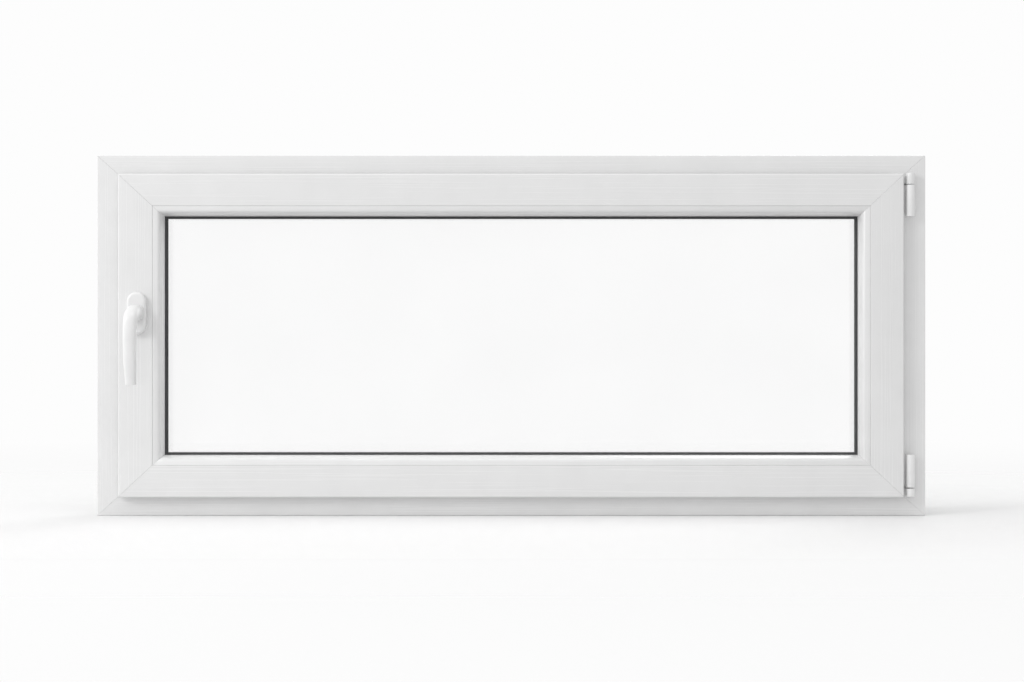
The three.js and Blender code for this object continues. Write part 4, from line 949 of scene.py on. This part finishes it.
SOFTENED = {
    "stay_bearing": ("frame", "coated_white", HINGE_COAT, 0.3),
    "stay_bearing_sleeve": ("frame", "cap_white", WHITE_NYLON, 0.6),
    "corner_bearing": ("frame", "coated_white", HINGE_COAT, 0.3),
    "corner_bearing_sleeve": ("frame", "cap_white", WHITE_NYLON, 0.6),
    "corner_band": ("sash", "coated_white", HINGE_COAT, 0.3),
    "corner_band_sleeve": ("sash", "cap_white", WHITE_NYLON, 0.6),
    "stay_arm": ("stay", "coated_white", HINGE_COAT, 0.4),
    "keep_lock_lower": ("frame", "silver_hardware", DIECAST, 0.4),
    "keep_lock_upper": ("frame", "silver_hardware", DIECAST, 0.4),
    "keep_top": ("frame", "silver_hardware", DIECAST, 0.4),
    "keep_bottom": ("frame", "silver_hardware", DIECAST, 0.4),
    "drain_hood_left": ("frame", "cap_white", WHITE_NYLON, 0.8),
    "drain_hood_right": ("frame", "cap_white", WHITE_NYLON, 0.8),
    "faceplate_lock": ("sash", "silver_hardware", PLATED_STEEL, 0.25),
    "faceplate_top": ("sash", "silver_hardware", PLATED_STEEL, 0.25),
    "faceplate_bottom": ("sash", "silver_hardware", PLATED_STEEL, 0.25),
    "corner_drive_upper": ("sash", "silver_hardware", PLATED_STEEL, 0.25),
    "corner_drive_lower": ("sash", "silver_hardware", PLATED_STEEL, 0.25),
    "rod_lock": ("lock_rod", "silver_hardware", PLATED_STEEL, 0.2),
    "rod_top": ("top_rod", "silver_hardware", PLATED_STEEL, 0.2),
    "rod_bottom": ("bottom_rod", "silver_hardware", PLATED_STEEL, 0.2),
}
for node, (body, slot, material, edge) in SOFTENED.items():
    place(softened(f"{node}_finished", node, material, edge), body, slot, node)

# ---------- Screws ----------

LOCK_PLATE_SCREWS = (153, 262, 400)  # heights of the screws in the lock-side faceplate
TOP_PLATE_SCREWS = (-500.94, -153.44, 342.94, 540.44)
BOTTOM_PLATE_SCREWS = (-500.94, -153.44, 36.56)
KEEP_SCREWS = (-27, 27)  # from the middle of a keep
KEEP_INSET = 2.3  # from a jamb keep's rebate side to its screw seats
KEEP_RISE = 2.0  # the same for the keeps in the head and the sill
STAY_SCREWS = (14, 38)  # up from the foot of the stay bearing
CORNER_SCREWS = (-40, -20)  # in from the hinge-side rebate
CORNER_SCREW_HEIGHT = 54
BEARING_FACE = 3.2  # from the hinge-side rebate to where the bearings' screws sit
SHELF_RISE = 2.9  # the same above the sill's rebate, without the clearance

plate_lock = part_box("faceplate_lock")[0].x / MM
plate_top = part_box("faceplate_top")[1].z / MM
plate_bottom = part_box("faceplate_bottom")[0].z / MM
sash_screws = [((plate_lock, GROOVE, z), (-1, 0, 0)) for z in LOCK_PLATE_SCREWS]
sash_screws += [((x, GROOVE, plate_top), (0, 0, 1)) for x in TOP_PLATE_SCREWS]
sash_screws += [((x, GROOVE, plate_bottom), (0, 0, -1)) for x in BOTTOM_PLATE_SCREWS]

frame_screws = []
for node in ("keep_lock_lower", "keep_lock_upper"):
    low, high = (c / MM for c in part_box(node))
    middle = (low.z + high.z) / 2
    frame_screws += [((low.x + KEEP_INSET, GROOVE - 1, middle + step), (1, 0, 0)) for step in KEEP_SCREWS]
low, high = (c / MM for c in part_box("keep_top"))
middle = (low.x + high.x) / 2
frame_screws += [((middle + step, GROOVE - 1, high.z - KEEP_RISE), (0, 0, -1)) for step in KEEP_SCREWS]
low, high = (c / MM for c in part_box("keep_bottom"))
middle = (low.x + high.x) / 2
frame_screws += [((middle + step, GROOVE - 1, low.z + KEEP_RISE), (0, 0, 1)) for step in KEEP_SCREWS]
rebate = across(REBATE)
stay_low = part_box("stay_bearing")[0].z / MM
bearing = rebate - BEARING_FACE
frame_screws += [((bearing, GROOVE, stay_low + rise), (-1, 0, 0)) for rise in STAY_SCREWS]
shelf = REBATE + GAP + SHELF_RISE
frame_screws += [((rebate + step, GROOVE + 2, shelf), (0, 0, 1)) for step in CORNER_SCREWS]
frame_screws += [((bearing, GROOVE + 2, CORNER_SCREW_HEIGHT), (-1, 0, 0))]

screws = screw_heads(SCREW_SIZES)
place(grown("screws_in_sash", screws, SCREW_SIZES, sash_screws, PLATED_STEEL), "sash", "silver_hardware")
place(grown("screws_in_frame", screws, SCREW_SIZES, frame_screws, PLATED_STEEL), "frame", "silver_hardware")

# ---------- Finishes on the CAD nodes that stay ----------

NODE_FINISH = {
    "pane_room": GLASS,
    "pane_weather": GLASS,
    "spacer_bar": SPACER,
    "edge_sealant": BUTYL,
    "glass_packer_lock": PACKER_BLUE,
    "glass_packer_hinge": PACKER_BLUE,
    "handle_base": CORE_GREY,
    "pivot_cup": DIECAST,
    "gear_case": DIECAST,
    "lock_gear": DIECAST,
}
for node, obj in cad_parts.items():
    if obj.hide_render:
        continue
    finish = NODE_FINISH.get(node, GALVANISED)
    for holder in obj.material_slots:
        holder.material = finish
